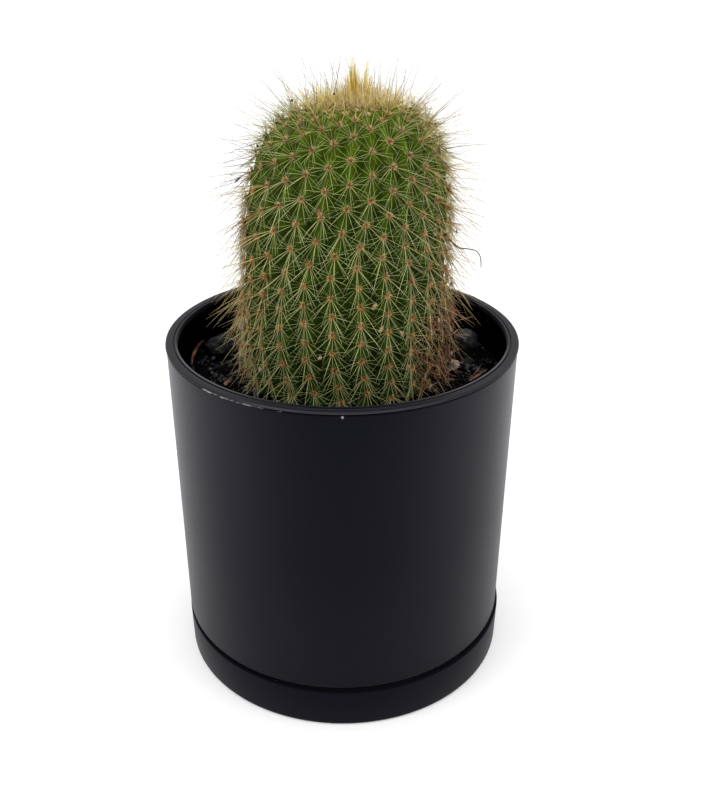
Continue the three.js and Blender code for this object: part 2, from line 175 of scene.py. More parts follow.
def turned(corners: Sequence[Corner], steps: int = 192, fillet_segments: int = 4) -> BMesh:
    """Turns an outline about the axis and rounds its corners.

    Args:
        corners: The outline from the axis, round the outside and back to the axis.
        steps: Faces round the axis.
        fillet_segments: Faces across each fillet.

    Returns:
        The closed mesh.
    """
    bm = bmesh.new()
    verts = [bm.verts.new((c.radius, 0, c.height)) for c in corners]
    edges = [bm.edges.new(pair) for pair in zip(verts, verts[1:])]
    bmesh.ops.spin(bm, geom=verts + edges, cent=(0, 0, 0), axis=(0, 0, 1), dvec=(0, 0, 0),
                   angle=TURN, steps=steps, use_merge=True, use_duplicate=False)
    bmesh.ops.remove_doubles(bm, verts=bm.verts, dist=1e-5)
    bmesh.ops.recalc_face_normals(bm, faces=bm.faces)
    for corner in corners:
        if corner.fillet:
            ring = [e for e in bm.edges if all(corner.holds(v.co) for v in e.verts)]
            bmesh.ops.bevel(bm, geom=ring, offset=corner.fillet, offset_type="OFFSET",
                            affect="EDGES", segments=fillet_segments, profile=0.5, material=-1,
                            clamp_overlap=True)
    return bm


def cut_away(body: BMesh, cutter: BMesh) -> BMesh:
    """Cuts one closed mesh out of another.

    Args:
        body: The mesh to cut; it is freed.
        cutter: The mesh to take away; it is freed.

    Returns:
        What is left of the body.
    """
    solid, tool = (bpy.data.objects.new(name, template_from(bm, name))
                   for name, bm in (("body", body), ("cutter", cutter)))
    for obj in (solid, tool):
        bpy.context.scene.collection.objects.link(obj)
    cut = solid.modifiers.new("cut", "BOOLEAN")
    cut.object = tool
    cut.operation = "DIFFERENCE"
    cut.solver = "EXACT"
    left = solid.evaluated_get(bpy.context.evaluated_depsgraph_get())
    result = bmesh.new()
    result.from_mesh(left.to_mesh())
    left.to_mesh_clear()
    for obj in (solid, tool):
        mesh = obj.data
        bpy.data.objects.remove(obj)
        bpy.data.meshes.remove(mesh)
    return result


def lump_mesh(half_sizes: Sequence[float], detail: int, dents: Sequence[Span],
              seed: float) -> BMesh:
    """Makes an uneven ball about the origin.

    Args:
        half_sizes: Its half width, depth and height.
        detail: Subdivisions of the icosphere it starts from.
        dents: Pairs of a noise scale, in dents per half size, and a share of the radius.
        seed: Moves the noise, so that no two lumps match.

    Returns:
        The closed mesh.
    """
    bm = bmesh.new()
    bmesh.ops.create_icosphere(bm, subdivisions=detail, radius=1)
    shift = Vector((seed * 7.31, seed * 3.17, seed * 5.71))
    for vert in bm.verts:
        push = sum(share * noise.noise(vert.co * scale + shift) for scale, share in dents)
        vert.co *= 1 + push
    bmesh.ops.scale(bm, vec=half_sizes, verts=bm.verts)
    return bm


def slice_up(bm: BMesh, count: int, low: float) -> None:
    """Cuts a mesh of length 1 into even lengths.

    Args:
        bm: The mesh, upright.
        count: How many lengths.
        low: The height that it starts at.
    """
    for cut in range(1, count):
        geom = bm.verts[:] + bm.edges[:] + bm.faces[:]
        bmesh.ops.bisect_plane(bm, geom=geom, plane_co=(0, 0, cut / count + low), plane_no=UP)


def scatter(target: BMesh, template: bpy.types.Mesh, place: Matrix) -> None:
    """Adds a copy of a template mesh to a bmesh.

    Args:
        target: The bmesh that takes the copy.
        template: The mesh to copy, whose own vertices end as they began.
        place: Where the copy goes.
    """
    template.transform(place)
    target.from_mesh(template)
    template.transform(place.inverted())


def template_from(bm: BMesh, name: str) -> bpy.types.Mesh:
    """Makes a template mesh from a bmesh, which is freed."""
    mesh = bpy.data.meshes.new(name)
    bm.to_mesh(mesh)
    bm.free()
    return mesh


# Shader helpers


class Nodes:
    """A node tree, with short ways to add its nodes and links."""

    def __init__(self, tree: bpy.types.NodeTree) -> None:
        """Takes the tree that the nodes are added to."""
        self.tree = tree

    def feed(self, target: Socket, value: object) -> None:
        """Links a socket to the one that is given, or sets its number or its colour."""
        if isinstance(value, Socket):
            self.tree.links.new(value, target)
        else:
            target.default_value = (*value, 1) if target.type == "RGBA" else value

    def node(self, kind: str, feeds: dict[str | int, object] | None = None,
             **properties: object) -> bpy.types.Node:
        """Adds a node.

        Args:
            kind: Its type.
            feeds: What its inputs are set or linked to.
            **properties: Its properties.

        Returns:
            The node.
        """
        node = self.tree.nodes.new(kind)
        for name, value in properties.items():
            setattr(node, name, value)
        for socket, value in (feeds or {}).items():
            self.feed(node.inputs[socket], value)
        return node

    def axes(self, place: Socket) -> bpy.types.bpy_prop_collection:
        """Returns a place's X, Y and Z."""
        return self.node("ShaderNodeSeparateXYZ", {0: place}).outputs

    def math(self, operation: str, first: object, second: object = 0.0) -> Socket:
        """Returns a sum of two values; each may be a socket or a number."""
        return self.node("ShaderNodeMath", {0: first, 1: second}, operation=operation).outputs[0]

    def times(self, first: object, second: object) -> Socket:
        """Returns the product of two values."""
        return self.math("MULTIPLY", first, second)

    def spread(self, value: Socket, low: float, high: float, to_low: float = 0.0,
               to_high: float = 1.0) -> Socket:
        """Stretches a value from one range to another.

        Args:
            value: The value.
            low: Where the range that it comes from starts.
            high: Where that range ends.
            to_low: Where the new range starts.
            to_high: Where the new range ends.

        Returns:
            The new value, held within the new range.
        """
        feeds = {"Value": value, "From Min": low, "From Max": high, "To Min": to_low,
                 "To Max": to_high}
        return self.node("ShaderNodeMapRange", feeds, clamp=True).outputs[0]

    def mix(self, factor: object, first: object, second: object,
            blend: str = "MIX") -> Socket:
        """Returns two colours mixed by a factor; each may be a socket or a value."""
        feeds = {0: factor, 6: first, 7: second}
        return self.node("ShaderNodeMix", feeds, data_type="RGBA", blend_type=blend).outputs[2]

    def tint(self, first: object, second: object) -> Socket:
        """Returns a colour multiplied by another colour or by a value."""
        return self.mix(1.0, first, second, "MULTIPLY")

    def ramp(self, factor: Socket, stops: Sequence[tuple[float, Colour]]) -> Socket:
        """Returns a colour read off a ramp of (position, linear colour) stops."""
        node = self.node("ShaderNodeValToRGB", {"Fac": factor})
        elements = node.color_ramp.elements
        while len(elements) < len(stops):
            elements.new(0.5)
        for element, (position, colour) in zip(elements, stops):
            element.position = position
            element.color = (*colour, 1)
        return node.outputs["Color"]


class Shader(Nodes):
    """A material's node tree, whose surface is one Principled shader."""

    def __init__(self, name: str) -> None:
        """Starts the material."""
        self.material = bpy.data.materials.new(name)
        self.material.use_nodes = True
        super().__init__(self.material.node_tree)
        self.surface = self.tree.nodes["Principled BSDF"]

    def group(self, group: bpy.types.NodeTree, **inputs: object) -> bpy.types.bpy_prop_collection:
        """Adds a shared effect with its own values, and returns what it puts out."""
        feeds = {name.replace("_", " "): value for name, value in inputs.items()}
        return self.node("ShaderNodeGroup", feeds, node_tree=group).outputs

    def place(self) -> Socket:
        """Returns the object coordinates."""
        return self.node("ShaderNodeTexCoord").outputs["Object"]

    def azimuth(self, place: Socket) -> Socket:
        """Returns a place's azimuth."""
        axes = self.axes(place)
        return self.math("ARCTAN2", axes["X"], self.times(axes["Y"], -1.0))

    def over_mm(self, value: Socket, low: float, high: float, *to: float) -> Socket:
        """Returns a length stretched from a range in millimetres, to 0 and 1 unless given."""
        return self.spread(value, low * MM, high * MM, *to)

    def over_degrees(self, value: Socket, low: float, high: float, *to: float) -> Socket:
        """Returns an angle stretched from a range in degrees, to 0 and 1 unless given."""
        return self.spread(value, math.radians(low), math.radians(high), *to)

    def attribute(self, name: str) -> Socket:
        """Returns a number that the mesh's own vertices hold."""
        return self.node("ShaderNodeAttribute", attribute_name=name).outputs["Fac"]

    def bump(self, height: Socket, distance: float, strength: float) -> None:
        """Feeds a height, of a distance in millimetres, to the surface's normal."""
        feeds = {"Height": height, "Distance": distance * MM, "Strength": strength}
        self.set(Normal=self.node("ShaderNodeBump", feeds).outputs[0])

    def set(self, **inputs: object) -> None:
        """Sets or links the Principled shader's sockets, named with underscores."""
        for name, value in inputs.items():
            self.feed(self.surface.inputs[name.replace("_", " ")], value)


def effect_group(name: str, inputs: dict[str, float], outputs: Sequence[str]) -> tuple:
    """Starts a shared effect: a group with a place, number inputs and value outputs.

    Args:
        name: The group's name.
        inputs: Its number inputs with their first values.
        outputs: Its value outputs.

    Returns:
        The group's nodes, the sockets that it is given and the sockets that it puts out.
    """
    group = bpy.data.node_groups.new(name, "ShaderNodeTree")
    new_socket = group.interface.new_socket
    new_socket("Place", in_out="INPUT", socket_type="NodeSocketVector")
    for socket, value in inputs.items():
        new_socket(socket, in_out="INPUT", socket_type="NodeSocketFloat").default_value = value
    for socket in outputs:
        new_socket(socket, in_out="OUTPUT", socket_type="NodeSocketFloat")
    nodes = Nodes(group)
    given = nodes.node("NodeGroupInput").outputs
    return nodes, given, nodes.node("NodeGroupOutput").inputs


class Effects:
    """The effects that several finishes share."""

    def __init__(self) -> None:
        """Builds each effect once."""
        self.specks = self.make_specks()
        self.mottle = self.make_mottle()

    @staticmethod
    def make_specks() -> bpy.types.NodeTree:
        """Small round specks, such as dust: a cell pattern whose cells are mostly empty."""
        nodes, given, result = effect_group(
            "specks", {"Scale": 400.0, "Size": 0.2, "Share": 0.1}, ["Mask"])
        feeds = {"Vector": given["Place"], "Scale": given["Scale"]}
        cells = nodes.node("ShaderNodeTexVoronoi", feeds, feature="F1").outputs
        near = nodes.math("LESS_THAN", cells["Distance"], given["Size"])
        lot = nodes.node("ShaderNodeSeparateColor", {0: cells["Color"]}).outputs[0]
        nodes.feed(result["Mask"], nodes.times(near, nodes.math("LESS_THAN", lot, given["Share"])))
        return nodes.tree

    @staticmethod
    def make_mottle() -> bpy.types.NodeTree:
        """Uneven patches between 0 and 1, with a fine grain beside them."""
        nodes, given, result = effect_group(
            "mottle", {"Scale": 50.0, "Grain Scale": 900.0}, ["Patches", "Grain"])
        for output, scale, detail in (("Patches", "Scale", 4.0), ("Grain", "Grain Scale", 2.0)):
            feeds = {"Vector": given["Place"], "Scale": given[scale], "Detail": detail}
            nodes.feed(result[output], nodes.node("ShaderNodeTexNoise", feeds).outputs["Fac"])
        return nodes.tree


# Finishes


@dataclass(frozen=True)
class ShellFinish:
    """Charcoal moulded shell: satin, finely grained and dusty, with a painted sheen.

    The painted sheen is pale colour added where the wall turns away, most of it high up the wall,
    in place of reflected light. A height in millimetres gives its top edge scuffs, or a polished
    bead over an inner wall darkened with painted shade.
    """

    name: str
    colour: Colour = (0.0013, 0.0013, 0.0044)
    roughness: float = 0.46
    specular: float = 0.06
    specular_tint: Colour = (0.90, 0.88, 1.0)
    sheen: float = 0.05
    # Painted sheen: the pale colour added where the wall turns away.
    painted_sheen: Colour = (0.20, 0.193, 0.207)
    dust: Colour = (0.13, 0.125, 0.13)
    chipped: Colour = (0.42, 0.42, 0.44)
    # Painted shade: the colour of the liner's wall below its lip, inside the pot.
    inner: Colour = (0.0004, 0.0004, 0.0016)
    # The heights over which the painted sheen grows from 0.2 to 1.33 times its colour.
    wall: Span = (10, 131)
    upper_wall: Span = (75, 131)
    scuffs_at: float | None = None
    polish_at: float | None = None
    rim: float = 67.5
    bruise: Span = (1.3, -67.1)

    def make(self, effects: Effects) -> Material:
        """Builds the material."""
        shader = Shader(self.name)
        place = shader.place()
        height = shader.axes(place)["Z"]
        mottle = shader.group(effects.mottle, Place=place, Scale=26.0, Grain_Scale=2600.0)
        dust = shader.group(effects.specks, Place=place, Scale=240.0, Size=0.055, Share=0.03)
        colour = shader.tint(self.colour, shader.spread(mottle["Grain"], 0.3, 0.7, 0.8, 1.2))
        # Painted sheen: pale colour added to the base where the wall turns away, in place of
        # reflected light.
        pale = shader.tint(self.painted_sheen, self.edges(shader, height))
        colour = shader.mix(dust["Mask"], shader.mix(1.0, colour, pale, "ADD"), self.dust)
        roughness = shader.spread(mottle["Patches"], 0.3, 0.7, self.roughness - 0.02,
                                  self.roughness + 0.03)
        specular = shader.times(shader.over_mm(height, *self.upper_wall, 0.68, 1.4), self.specular)
        sheen = self.sheen
        if self.scuffs_at is not None:
            colour = shader.mix(self.scuffs(shader, place), colour, self.chipped)
        if self.polish_at is not None:
            shine = self.polish(shader, place)
            # Painted shade: below the lip the liner turns near-black, and its sheen and specular
            # fade with it.
            outside = shader.over_mm(height, self.polish_at - 2.2, self.polish_at - 1.2)
            colour = shader.mix(outside, self.inner, colour)
            sheen = shader.times(outside, self.sheen)
            specular = shader.times(shader.spread(shine, 0.0, 1.0, self.specular, 0.9),
                                    shader.spread(outside, 0.0, 1.0, 0.25, 1.0))
            roughness = shader.math("SUBTRACT", roughness, shader.times(shine, 0.16))
        shader.set(
            Base_Color=colour,
            Roughness=roughness,
            Specular_IOR_Level=specular,
            Specular_Tint=self.specular_tint,
            Sheen_Weight=sheen,
            Sheen_Roughness=0.4,
        )
        shader.bump(mottle["Grain"], 0.03, 0.4)
        return shader.material

    def edges(self, shader: Shader, height: Socket) -> Socket:
        """Returns the painted sheen: pale colour where the shell turns away, most high up the wall.
        """
        facing = shader.node("ShaderNodeLayerWeight").outputs["Facing"]
        narrow = shader.math("POWER", facing, 4.0)
        broad = shader.spread(facing, 0.09, 0.33, 0.0, 0.036)
        return shader.times(shader.math("ADD", narrow, broad),
                            shader.over_mm(height, *self.wall, 0.2, 1.33))

    def polish(self, shader: Shader, place: Socket) -> Socket:
        """Returns a mask of the topmost edge, rubbed smooth at the sides of the front."""
        height = shader.axes(place)["Z"]
        edge = shader.over_mm(height, self.polish_at - 0.16, self.polish_at - 0.05)
        side = shader.math("ABSOLUTE", shader.azimuth(place))
        window = shader.times(shader.over_degrees(side, 12, 42),
                              shader.over_degrees(side, 60, 80, 1.0, 0.0))
        bead = shader.times(edge, window)
        return shader.math("MAXIMUM", bead, self.rubbed_front(shader, place, side))

    def rubbed_front(self, shader: Shader, place: Socket, side: Socket) -> Socket:
        """Rubs the flange's outer edge a little at the front.

        Args:
            shader: The material's nodes.
            place: The object coordinates.
            side: How far round from the front, either way.

        Returns:
            A mask of the rubbed edge.
        """
        level = shader.node("ShaderNodeVectorMath", {0: place, 1: (1, 1, 0)}, operation="MULTIPLY")
        radius = shader.node("ShaderNodeVectorMath", {0: level.outputs[0]}, operation="LENGTH")
        outer = shader.over_mm(radius.outputs["Value"], self.rim - 0.8, self.rim - 0.35)
        return shader.times(outer, shader.over_degrees(side, 14, 34, 0.42, 0.1))

    def scuffs(self, shader: Shader, place: Socket) -> Socket:
        """Returns a mask of worn spots along the top edge, most of them at the front's left."""
        depth = shader.math("SUBTRACT", self.scuffs_at * MM, shader.axes(place)["Z"])
        near = shader.over_mm(depth, 0.1, 0.75, 1.0, 0.0)
        azimuth = shader.azimuth(place)
        window = shader.times(shader.over_degrees(azimuth, -50, -43),
                              shader.over_degrees(azimuth, -34, -4, 1.0, 0.45))
        feeds = {"Vector": place, "Scale": 650.0, "Detail": 4.0}
        ragged = shader.node("ShaderNodeTexNoise", feeds).outputs["Fac"]
        wear = shader.times(shader.times(near, window), ragged)
        chips = shader.spread(wear, 0.36, 0.46)
        return shader.math("MAXIMUM", chips, self.star_scuff(shader, place, ragged))

    def star_scuff(self, shader: Shader, place: Socket, ragged: Socket) -> Socket:
        """Puts the small pale bruise just under the edge at the front.

        Args:
            shader: The material's nodes.
            place: The object coordinates.
            ragged: The noise that breaks its outline.

        Returns:
            A mask of the bruise.
        """
        middle = Vector((*self.bruise, self.scuffs_at - 0.6)) * MM
        off = shader.node("ShaderNodeVectorMath", {0: place, 1: middle}, operation="DISTANCE")
        core = shader.over_mm(off.outputs["Value"], 0.25, 1.5, 1.0, 0.0)
        return shader.spread(shader.times(core, ragged), 0.34, 0.46, 0.0, 0.8)


@dataclass(frozen=True)
class SkinFinish:
    """Waxy cactus skin: brighter on the crests and near the crown, darker and bluer in the furrows.

    The furrows' darkness is painted shade, strongest low on the stem. Its ramps run from the soil
    to the crown; the green ramp's darker low end is partly painted shade from the pot and spines,
    and partly the skin's own colour, which is lighter and yellower near the crown.
    """

    name: str = "cactus_skin_green"
    # The green from soil to crown; its darker low end is partly painted shade.
    green: tuple[tuple[float, Colour], ...] = (
        (0.0, (0.016, 0.041, 0.005)), (0.3, (0.026, 0.050, 0.001)), (0.55, (0.033, 0.062, 0.001)),
        (0.8, (0.066, 0.110, 0.001)), (1.0, (0.130, 0.165, 0.003)),
    )
    # Painted shade: what the furrows' green is multiplied by, darkest low down.
    shade: tuple[tuple[float, Colour], ...] = (
        (0.0, (0.42, 0.50, 0.50)), (0.55, (0.48, 0.54, 0.50)), (0.9, (0.80, 0.84, 0.70)),
    )
    dead: Colour = (0.020, 0.009, 0.005)

    def make(self, effects: Effects) -> Material:
        """Builds the material from the skin's own crest and climb attributes."""
        shader = Shader(self.name)
        place = shader.place()
        mottle = shader.group(effects.mottle, Place=place, Scale=260.0, Grain_Scale=2200.0)
        patches = mottle["Patches"]
        climb = shader.attribute("climb")
        # Partly painted shade: the green darkens towards the soil.
        green = shader.ramp(climb, self.green)
        # Painted shade: the furrows are darker and bluer than the crests.
        furrow = shader.tint(green, shader.ramp(climb, self.shade))
        colour = shader.mix(shader.spread(shader.attribute("crest"), 0.15, 0.9), furrow, green)
        colour = shader.tint(colour, shader.spread(patches, 0.34, 0.66, 0.62, 1.4))
        colour = shader.mix(self.withered(shader, place, patches), colour, self.dead)
        shader.set(
            Base_Color=colour,
            Roughness=shader.spread(patches, 0.3, 0.7, 0.45, 0.62),
            Specular_IOR_Level=0.05,
        )
        shader.bump(mottle["Grain"], 0.06, 0.5)
        return shader.material

    @staticmethod
    def withered(shader: Shader, place: Socket, patches: Socket) -> Socket:
        """Finds the dead skin low on the stem's two sides, most of it on the right.

        Args:
            shader: The material's nodes.
            place: The object coordinates.
            patches: The noise that breaks its outline.

        Returns:
            A mask of the dead skin.
        """
        axes = shader.axes(place)
        right = shader.times(shader.over_mm(axes["X"], 26, 34),
                             shader.over_mm(axes["Z"], 152, 172, 1.0, 0.0))
        left = shader.times(shader.over_mm(axes["X"], -36, -32, 1.0, 0.0),
                            shader.over_mm(axes["Z"], 150, 185, 1.0, 0.0))
        ragged = shader.spread(patches, 0.36, 0.5, 0.35, 1.0)
        return shader.times(shader.math("MAXIMUM", right, left), ragged)


@dataclass(frozen=True)
class SpineFinish:
    """Dry, slightly glassy spines, whose colour runs from root to tip."""

    name: str
    stops: tuple[tuple[float, Colour], ...]
    tones: Span = (0.42, 1.18)
    golden: Colour = (1.0, 0.66, 0.46)
    roughness: float = 0.5
    glow: float = 0.0
    glow_radius: Colour = (1.0, 0.8, 0.4)

    def make(self) -> Material:
        """Builds the material from the spines' own root-to-tip, tone and warmth attributes."""
        shader = Shader(self.name)
        along, tone, warmth = (shader.attribute(name) for name in Planting.layers)
        colour = shader.ramp(along, self.stops)
        colour = shader.mix(warmth, colour, shader.tint(colour, self.golden))
        colour = shader.tint(colour, shader.spread(tone, 0.0, 1.0, *self.tones))
        shader.set(Base_Color=colour, Roughness=self.roughness, Specular_IOR_Level=0.16)
        if self.glow:
            shader.set(Subsurface_Weight=self.glow, Subsurface_Radius=self.glow_radius,
                       Subsurface_Scale=0.5 * MM)
        return shader.material


@dataclass(frozen=True)
class EarthFinish:
    """Mineral or woody matter with patches of two colours, a grain and its own relief."""

    name: str
    dark: Colour
    light: Colour
    scale: float
    roughness: float
    relief: float
    specular: float = 0.4
    specks: float = 0.0
    speck_colour: Colour = (0.10, 0.10, 0.11)

    def make(self, effects: Effects) -> Material:
        """Builds the material."""
        shader = Shader(self.name)
        place = shader.place()
        mottle = shader.group(effects.mottle, Place=place, Scale=self.scale,
                              Grain_Scale=self.scale * 6)
        grain = mottle["Grain"]
        patches = shader.spread(mottle["Patches"], 0.38, 0.66)
        colour = shader.mix(patches, self.dark, self.light)
        colour = shader.tint(colour, shader.spread(grain, 0.35, 0.65, 0.6, 1.4))
        if self.specks:
            bits = shader.group(effects.specks, Place=place, Scale=900.0, Size=0.3,
                                Share=self.specks)
            colour = shader.mix(bits["Mask"], colour, self.speck_colour)
        shader.set(
            Base_Color=colour,
            Roughness=shader.spread(grain, 0.3, 0.7, self.roughness - 0.15, self.roughness + 0.1),
            Specular_IOR_Level=self.specular,
        )
        shader.bump(grain, self.relief, 0.8)
        return shader.material


# The pots


@dataclass
class Pots:
    """The saucer, the outer pot and the grow pot, each turned about the axis."""

    effects: Effects
    height: float = 137.6
    soil_below_rim: float = 16.0
    rim_radius: float = 67.5
    saucer_height: float = 16.7
    saucer_top_radius: float = 66.85
    saucer_base_radius: float = 66.5
    saucer_wall: float = 2.2
    saucer_floor: float = 2.4
    saucer_shift: float = 0.4
    foot_recess: float = 1.5
    foot_width: float = 5.9
    foot_draft: float = 0.3
    pot_floor: float = 3.0
    pot_top_radius: float = 67.15
    pot_low_radius: float = 66.3
    pot_low_edge: float = 18.6
    pot_wall: float = 2.6
    foot_radius: float = 62.0
    flange_depth: float = 0.95
    liner_top_radius: float = 62.9
    liner_base_radius: float = 57.0
    liner_base: float = 12.5
    liner_wall: float = 1.2
    liner_floor: float = 1.5
    gap: float = 0.3
    seam: float = 0.55
    slot_count: int = 6
    slot_size: tuple[float, float] = (12.0, 3.4)
    outer_slot_ring: float = 34.0
    liner_slot_ring: float = 36.0

    def build(self) -> None:
        """Makes the three shells and hides the solids that they stand for."""
        shell = ShellFinish("charcoal_satin").make(self.effects)
        worn = ShellFinish("charcoal_satin_worn_edge",
                           scuffs_at=self.pot_top_edge).make(self.effects)
        # The liner's finish has a weaker painted sheen, and painted shade below its lip.
        lip = ShellFinish("liner_satin_black", roughness=0.36, specular=0.085,
                          painted_sheen=(0.06, 0.058, 0.062), polish_at=self.height,
                          rim=self.rim_radius).make(self.effects)
        saucer = new_piece("saucer_tray", self.saucer(), shell, Slot.SHELL)
        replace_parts(saucer, "saucer")
        pot = new_piece("outer_pot_shell", self.outer_pot(), worn, Slot.SHELL)
        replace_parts(pot, "outer_pot")
        liner = new_piece("grow_pot_liner", self.grow_pot(), lip, Slot.LINER)
        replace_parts(liner, "grow_pot")

    @property
    def pot_top_edge(self) -> float:
        """The outer pot's top edge, just under the grow pot's flange."""
        return self.height - self.flange_depth - self.seam

    def saucer(self) -> BMesh:
        """Returns the round tray."""
        inner_top = self.saucer_top_radius - self.saucer_wall
        inner_base = self.saucer_base_radius - self.saucer_wall
        bm = turned([
            Corner(0, 0),
            Corner(self.saucer_base_radius, 0, 1.3),
            Corner(self.saucer_top_radius, self.saucer_height, 0.5),
            Corner(inner_top, self.saucer_height, 0.4),
            Corner(inner_base, self.saucer_floor, 1.1),
            Corner(0, self.saucer_floor),
        ])
        bmesh.ops.translate(bm, vec=(self.saucer_shift, 0, 0), verts=bm.verts)
        return bm

    def outer_pot(self) -> BMesh:
        """Returns the straight outer shell with its recessed foot."""
        foot = self.saucer_floor + self.gap
        underside = foot + self.foot_recess
        floor = underside + self.pot_floor
        inner_foot = self.foot_radius - self.pot_wall
        body = turned([
            Corner(0, underside),
            Corner(self.foot_radius - self.foot_width - self.foot_draft, underside, 0.5),
            Corner(self.foot_radius - self.foot_width, foot, 0.4),
            Corner(self.foot_radius, foot, 0.7),
            Corner(self.foot_radius, self.pot_low_edge),
            Corner(self.pot_low_radius, self.pot_low_edge, 0.7),
            Corner(self.pot_top_radius, self.pot_top_edge, 0.5),
            Corner(self.pot_top_radius - self.pot_wall, self.pot_top_edge, 0.3),
            Corner(self.pot_low_radius - self.pot_wall, self.pot_low_edge + 4.5, 0.8),
            Corner(inner_foot, self.pot_low_edge, 0.8),
            Corner(inner_foot, floor, 1.2),
            Corner(0, floor),
        ])
        return cut_away(body, self.drain_slots(self.outer_slot_ring, foot, floor + 1))

    def grow_pot(self) -> BMesh:
        """Returns the liner: a thin wall with a flat flange, a fine groove and a rolled bead."""
        floor = self.liner_base + self.liner_floor
        inside = self.liner_top_radius
        flange = self.height - self.flange_depth
        body = turned([
            Corner(0, self.liner_base),
            Corner(self.liner_base_radius + self.liner_wall - 0.3, self.liner_base, 1.4),
            Corner(inside + self.liner_wall, flange - 1),
            Corner(inside + self.liner_wall, flange),
            Corner(self.rim_radius, flange, 0.25),
            Corner(self.rim_radius, self.height - 0.2, 0.55),
            Corner(inside + 1.75, self.height - 0.2, 0.12),
            Corner(inside + 1.45, self.height - 0.95, 0.1),
            Corner(inside + 1.1, self.height, 0.4),
            Corner(inside + 0.2, self.height, 0.4),
            Corner(inside, flange - 1.5, 1.0),
            Corner(self.liner_base_radius, floor, 1.5),
            Corner(0, floor),
        ])
        slots = self.drain_slots(self.liner_slot_ring, self.liner_base - 1, floor + 1.5)
        return cut_away(body, slots)

    def drain_slots(self, ring_radius: float, low: float, high: float) -> BMesh:
        """Returns the narrow slots, in a ring, that are cut right through a floor.

        Args:
            ring_radius: The radius that their middles lie on.
            low: The height that they start at.
            high: The height that they end at.

        Returns:
            One mesh of all the slots.
        """
        bm = bmesh.new()
        size = Matrix.Diagonal((*self.slot_size, high - low, 1))
        for i in range(self.slot_count):
            turn = Matrix.Rotation(TURN * i / self.slot_count, 4, "Z")
            place = Matrix.Translation((ring_radius, 0, (low + high) / 2))
            bmesh.ops.create_cube(bm, size=1, matrix=turn @ place @ size)
        return bm


# The stem


@dataclass(frozen=True)
class AreoleFrame:
    """A spot on the stem's surface: its place, its three directions, and how far up and round."""

    place: Vector
    normal: Vector
    up: Vector
    across: Vector
    arc: float
    azimuth: float

    @property
    def degrees(self) -> float:
        """The azimuth in degrees, from -180 to 180."""
        return math.degrees((self.azimuth + math.pi) % TURN - math.pi)

    @property
    def turn(self) -> Matrix:
        """The turn that lays a thing made upright on the skin."""
        return Matrix((self.across, self.up, self.normal)).transposed().to_4x4()

    def aside(self, angle: float) -> Vector:
        """Returns the direction along the skin at an angle from straight down the rib."""
        return self.across * math.sin(angle) - self.up * math.cos(angle)

    def lifted(self, flat: Vector, lift: float) -> Vector:
        """Returns a direction along the skin, lifted off it by an angle."""
        return flat * math.cos(lift) + self.normal * math.sin(lift)


@dataclass(frozen=True)
class Wander:
    """How the ribs and the rows of areoles wander: angles in degrees, places as arc lengths."""

    spread: tuple[float, float] = (0.047, -0.09)
    drift: tuple[float, float] = (-4.8, 0.7)
    drift_range: tuple[float, float] = (32, 82)
    flare: float = 5.0
    flare_range: tuple[float, float] = (4, 24)
    sway: float = 3.9
    side_sway: float = 4.2
    sway_place: float = 53.0
    sway_side_place: float = 19.0
    sway_reach: float = 13.0
    row_tilt: float = 5.5
    tilt_range: tuple[float, float] = (46, 78)
    tilt_fade: tuple[float, float] = (92, 116)

    def azimuth(self, turns: float, arc: float) -> float:
        """Returns where a rib stands: it flares at the foot, sways back and closes up higher."""
        even = TURN * turns
        side = math.sin(even)
        climb = smoothstep(arc, *self.drift_range)
        off_sway = (arc - self.sway_place - self.sway_side_place * side) / self.sway_reach
        sway = (self.sway + self.side_sway * side) * math.exp(-off_sway**2)
        flare = self.flare * (1 - smoothstep(arc, *self.flare_range))
        drift = math.radians(lerp(*self.drift, climb) + flare - sway)
        return even + lerp(*self.spread, climb) * side + drift

    def tilt(self, turns: float, row: float) -> float:
        """Returns how much lower than its row an areole sits; the upper rows dip towards +X."""
        grows = smoothstep(row, *self.tilt_range) * (1 - smoothstep(row, *self.tilt_fade))
        return self.row_tilt * math.sin(TURN * turns) * grows


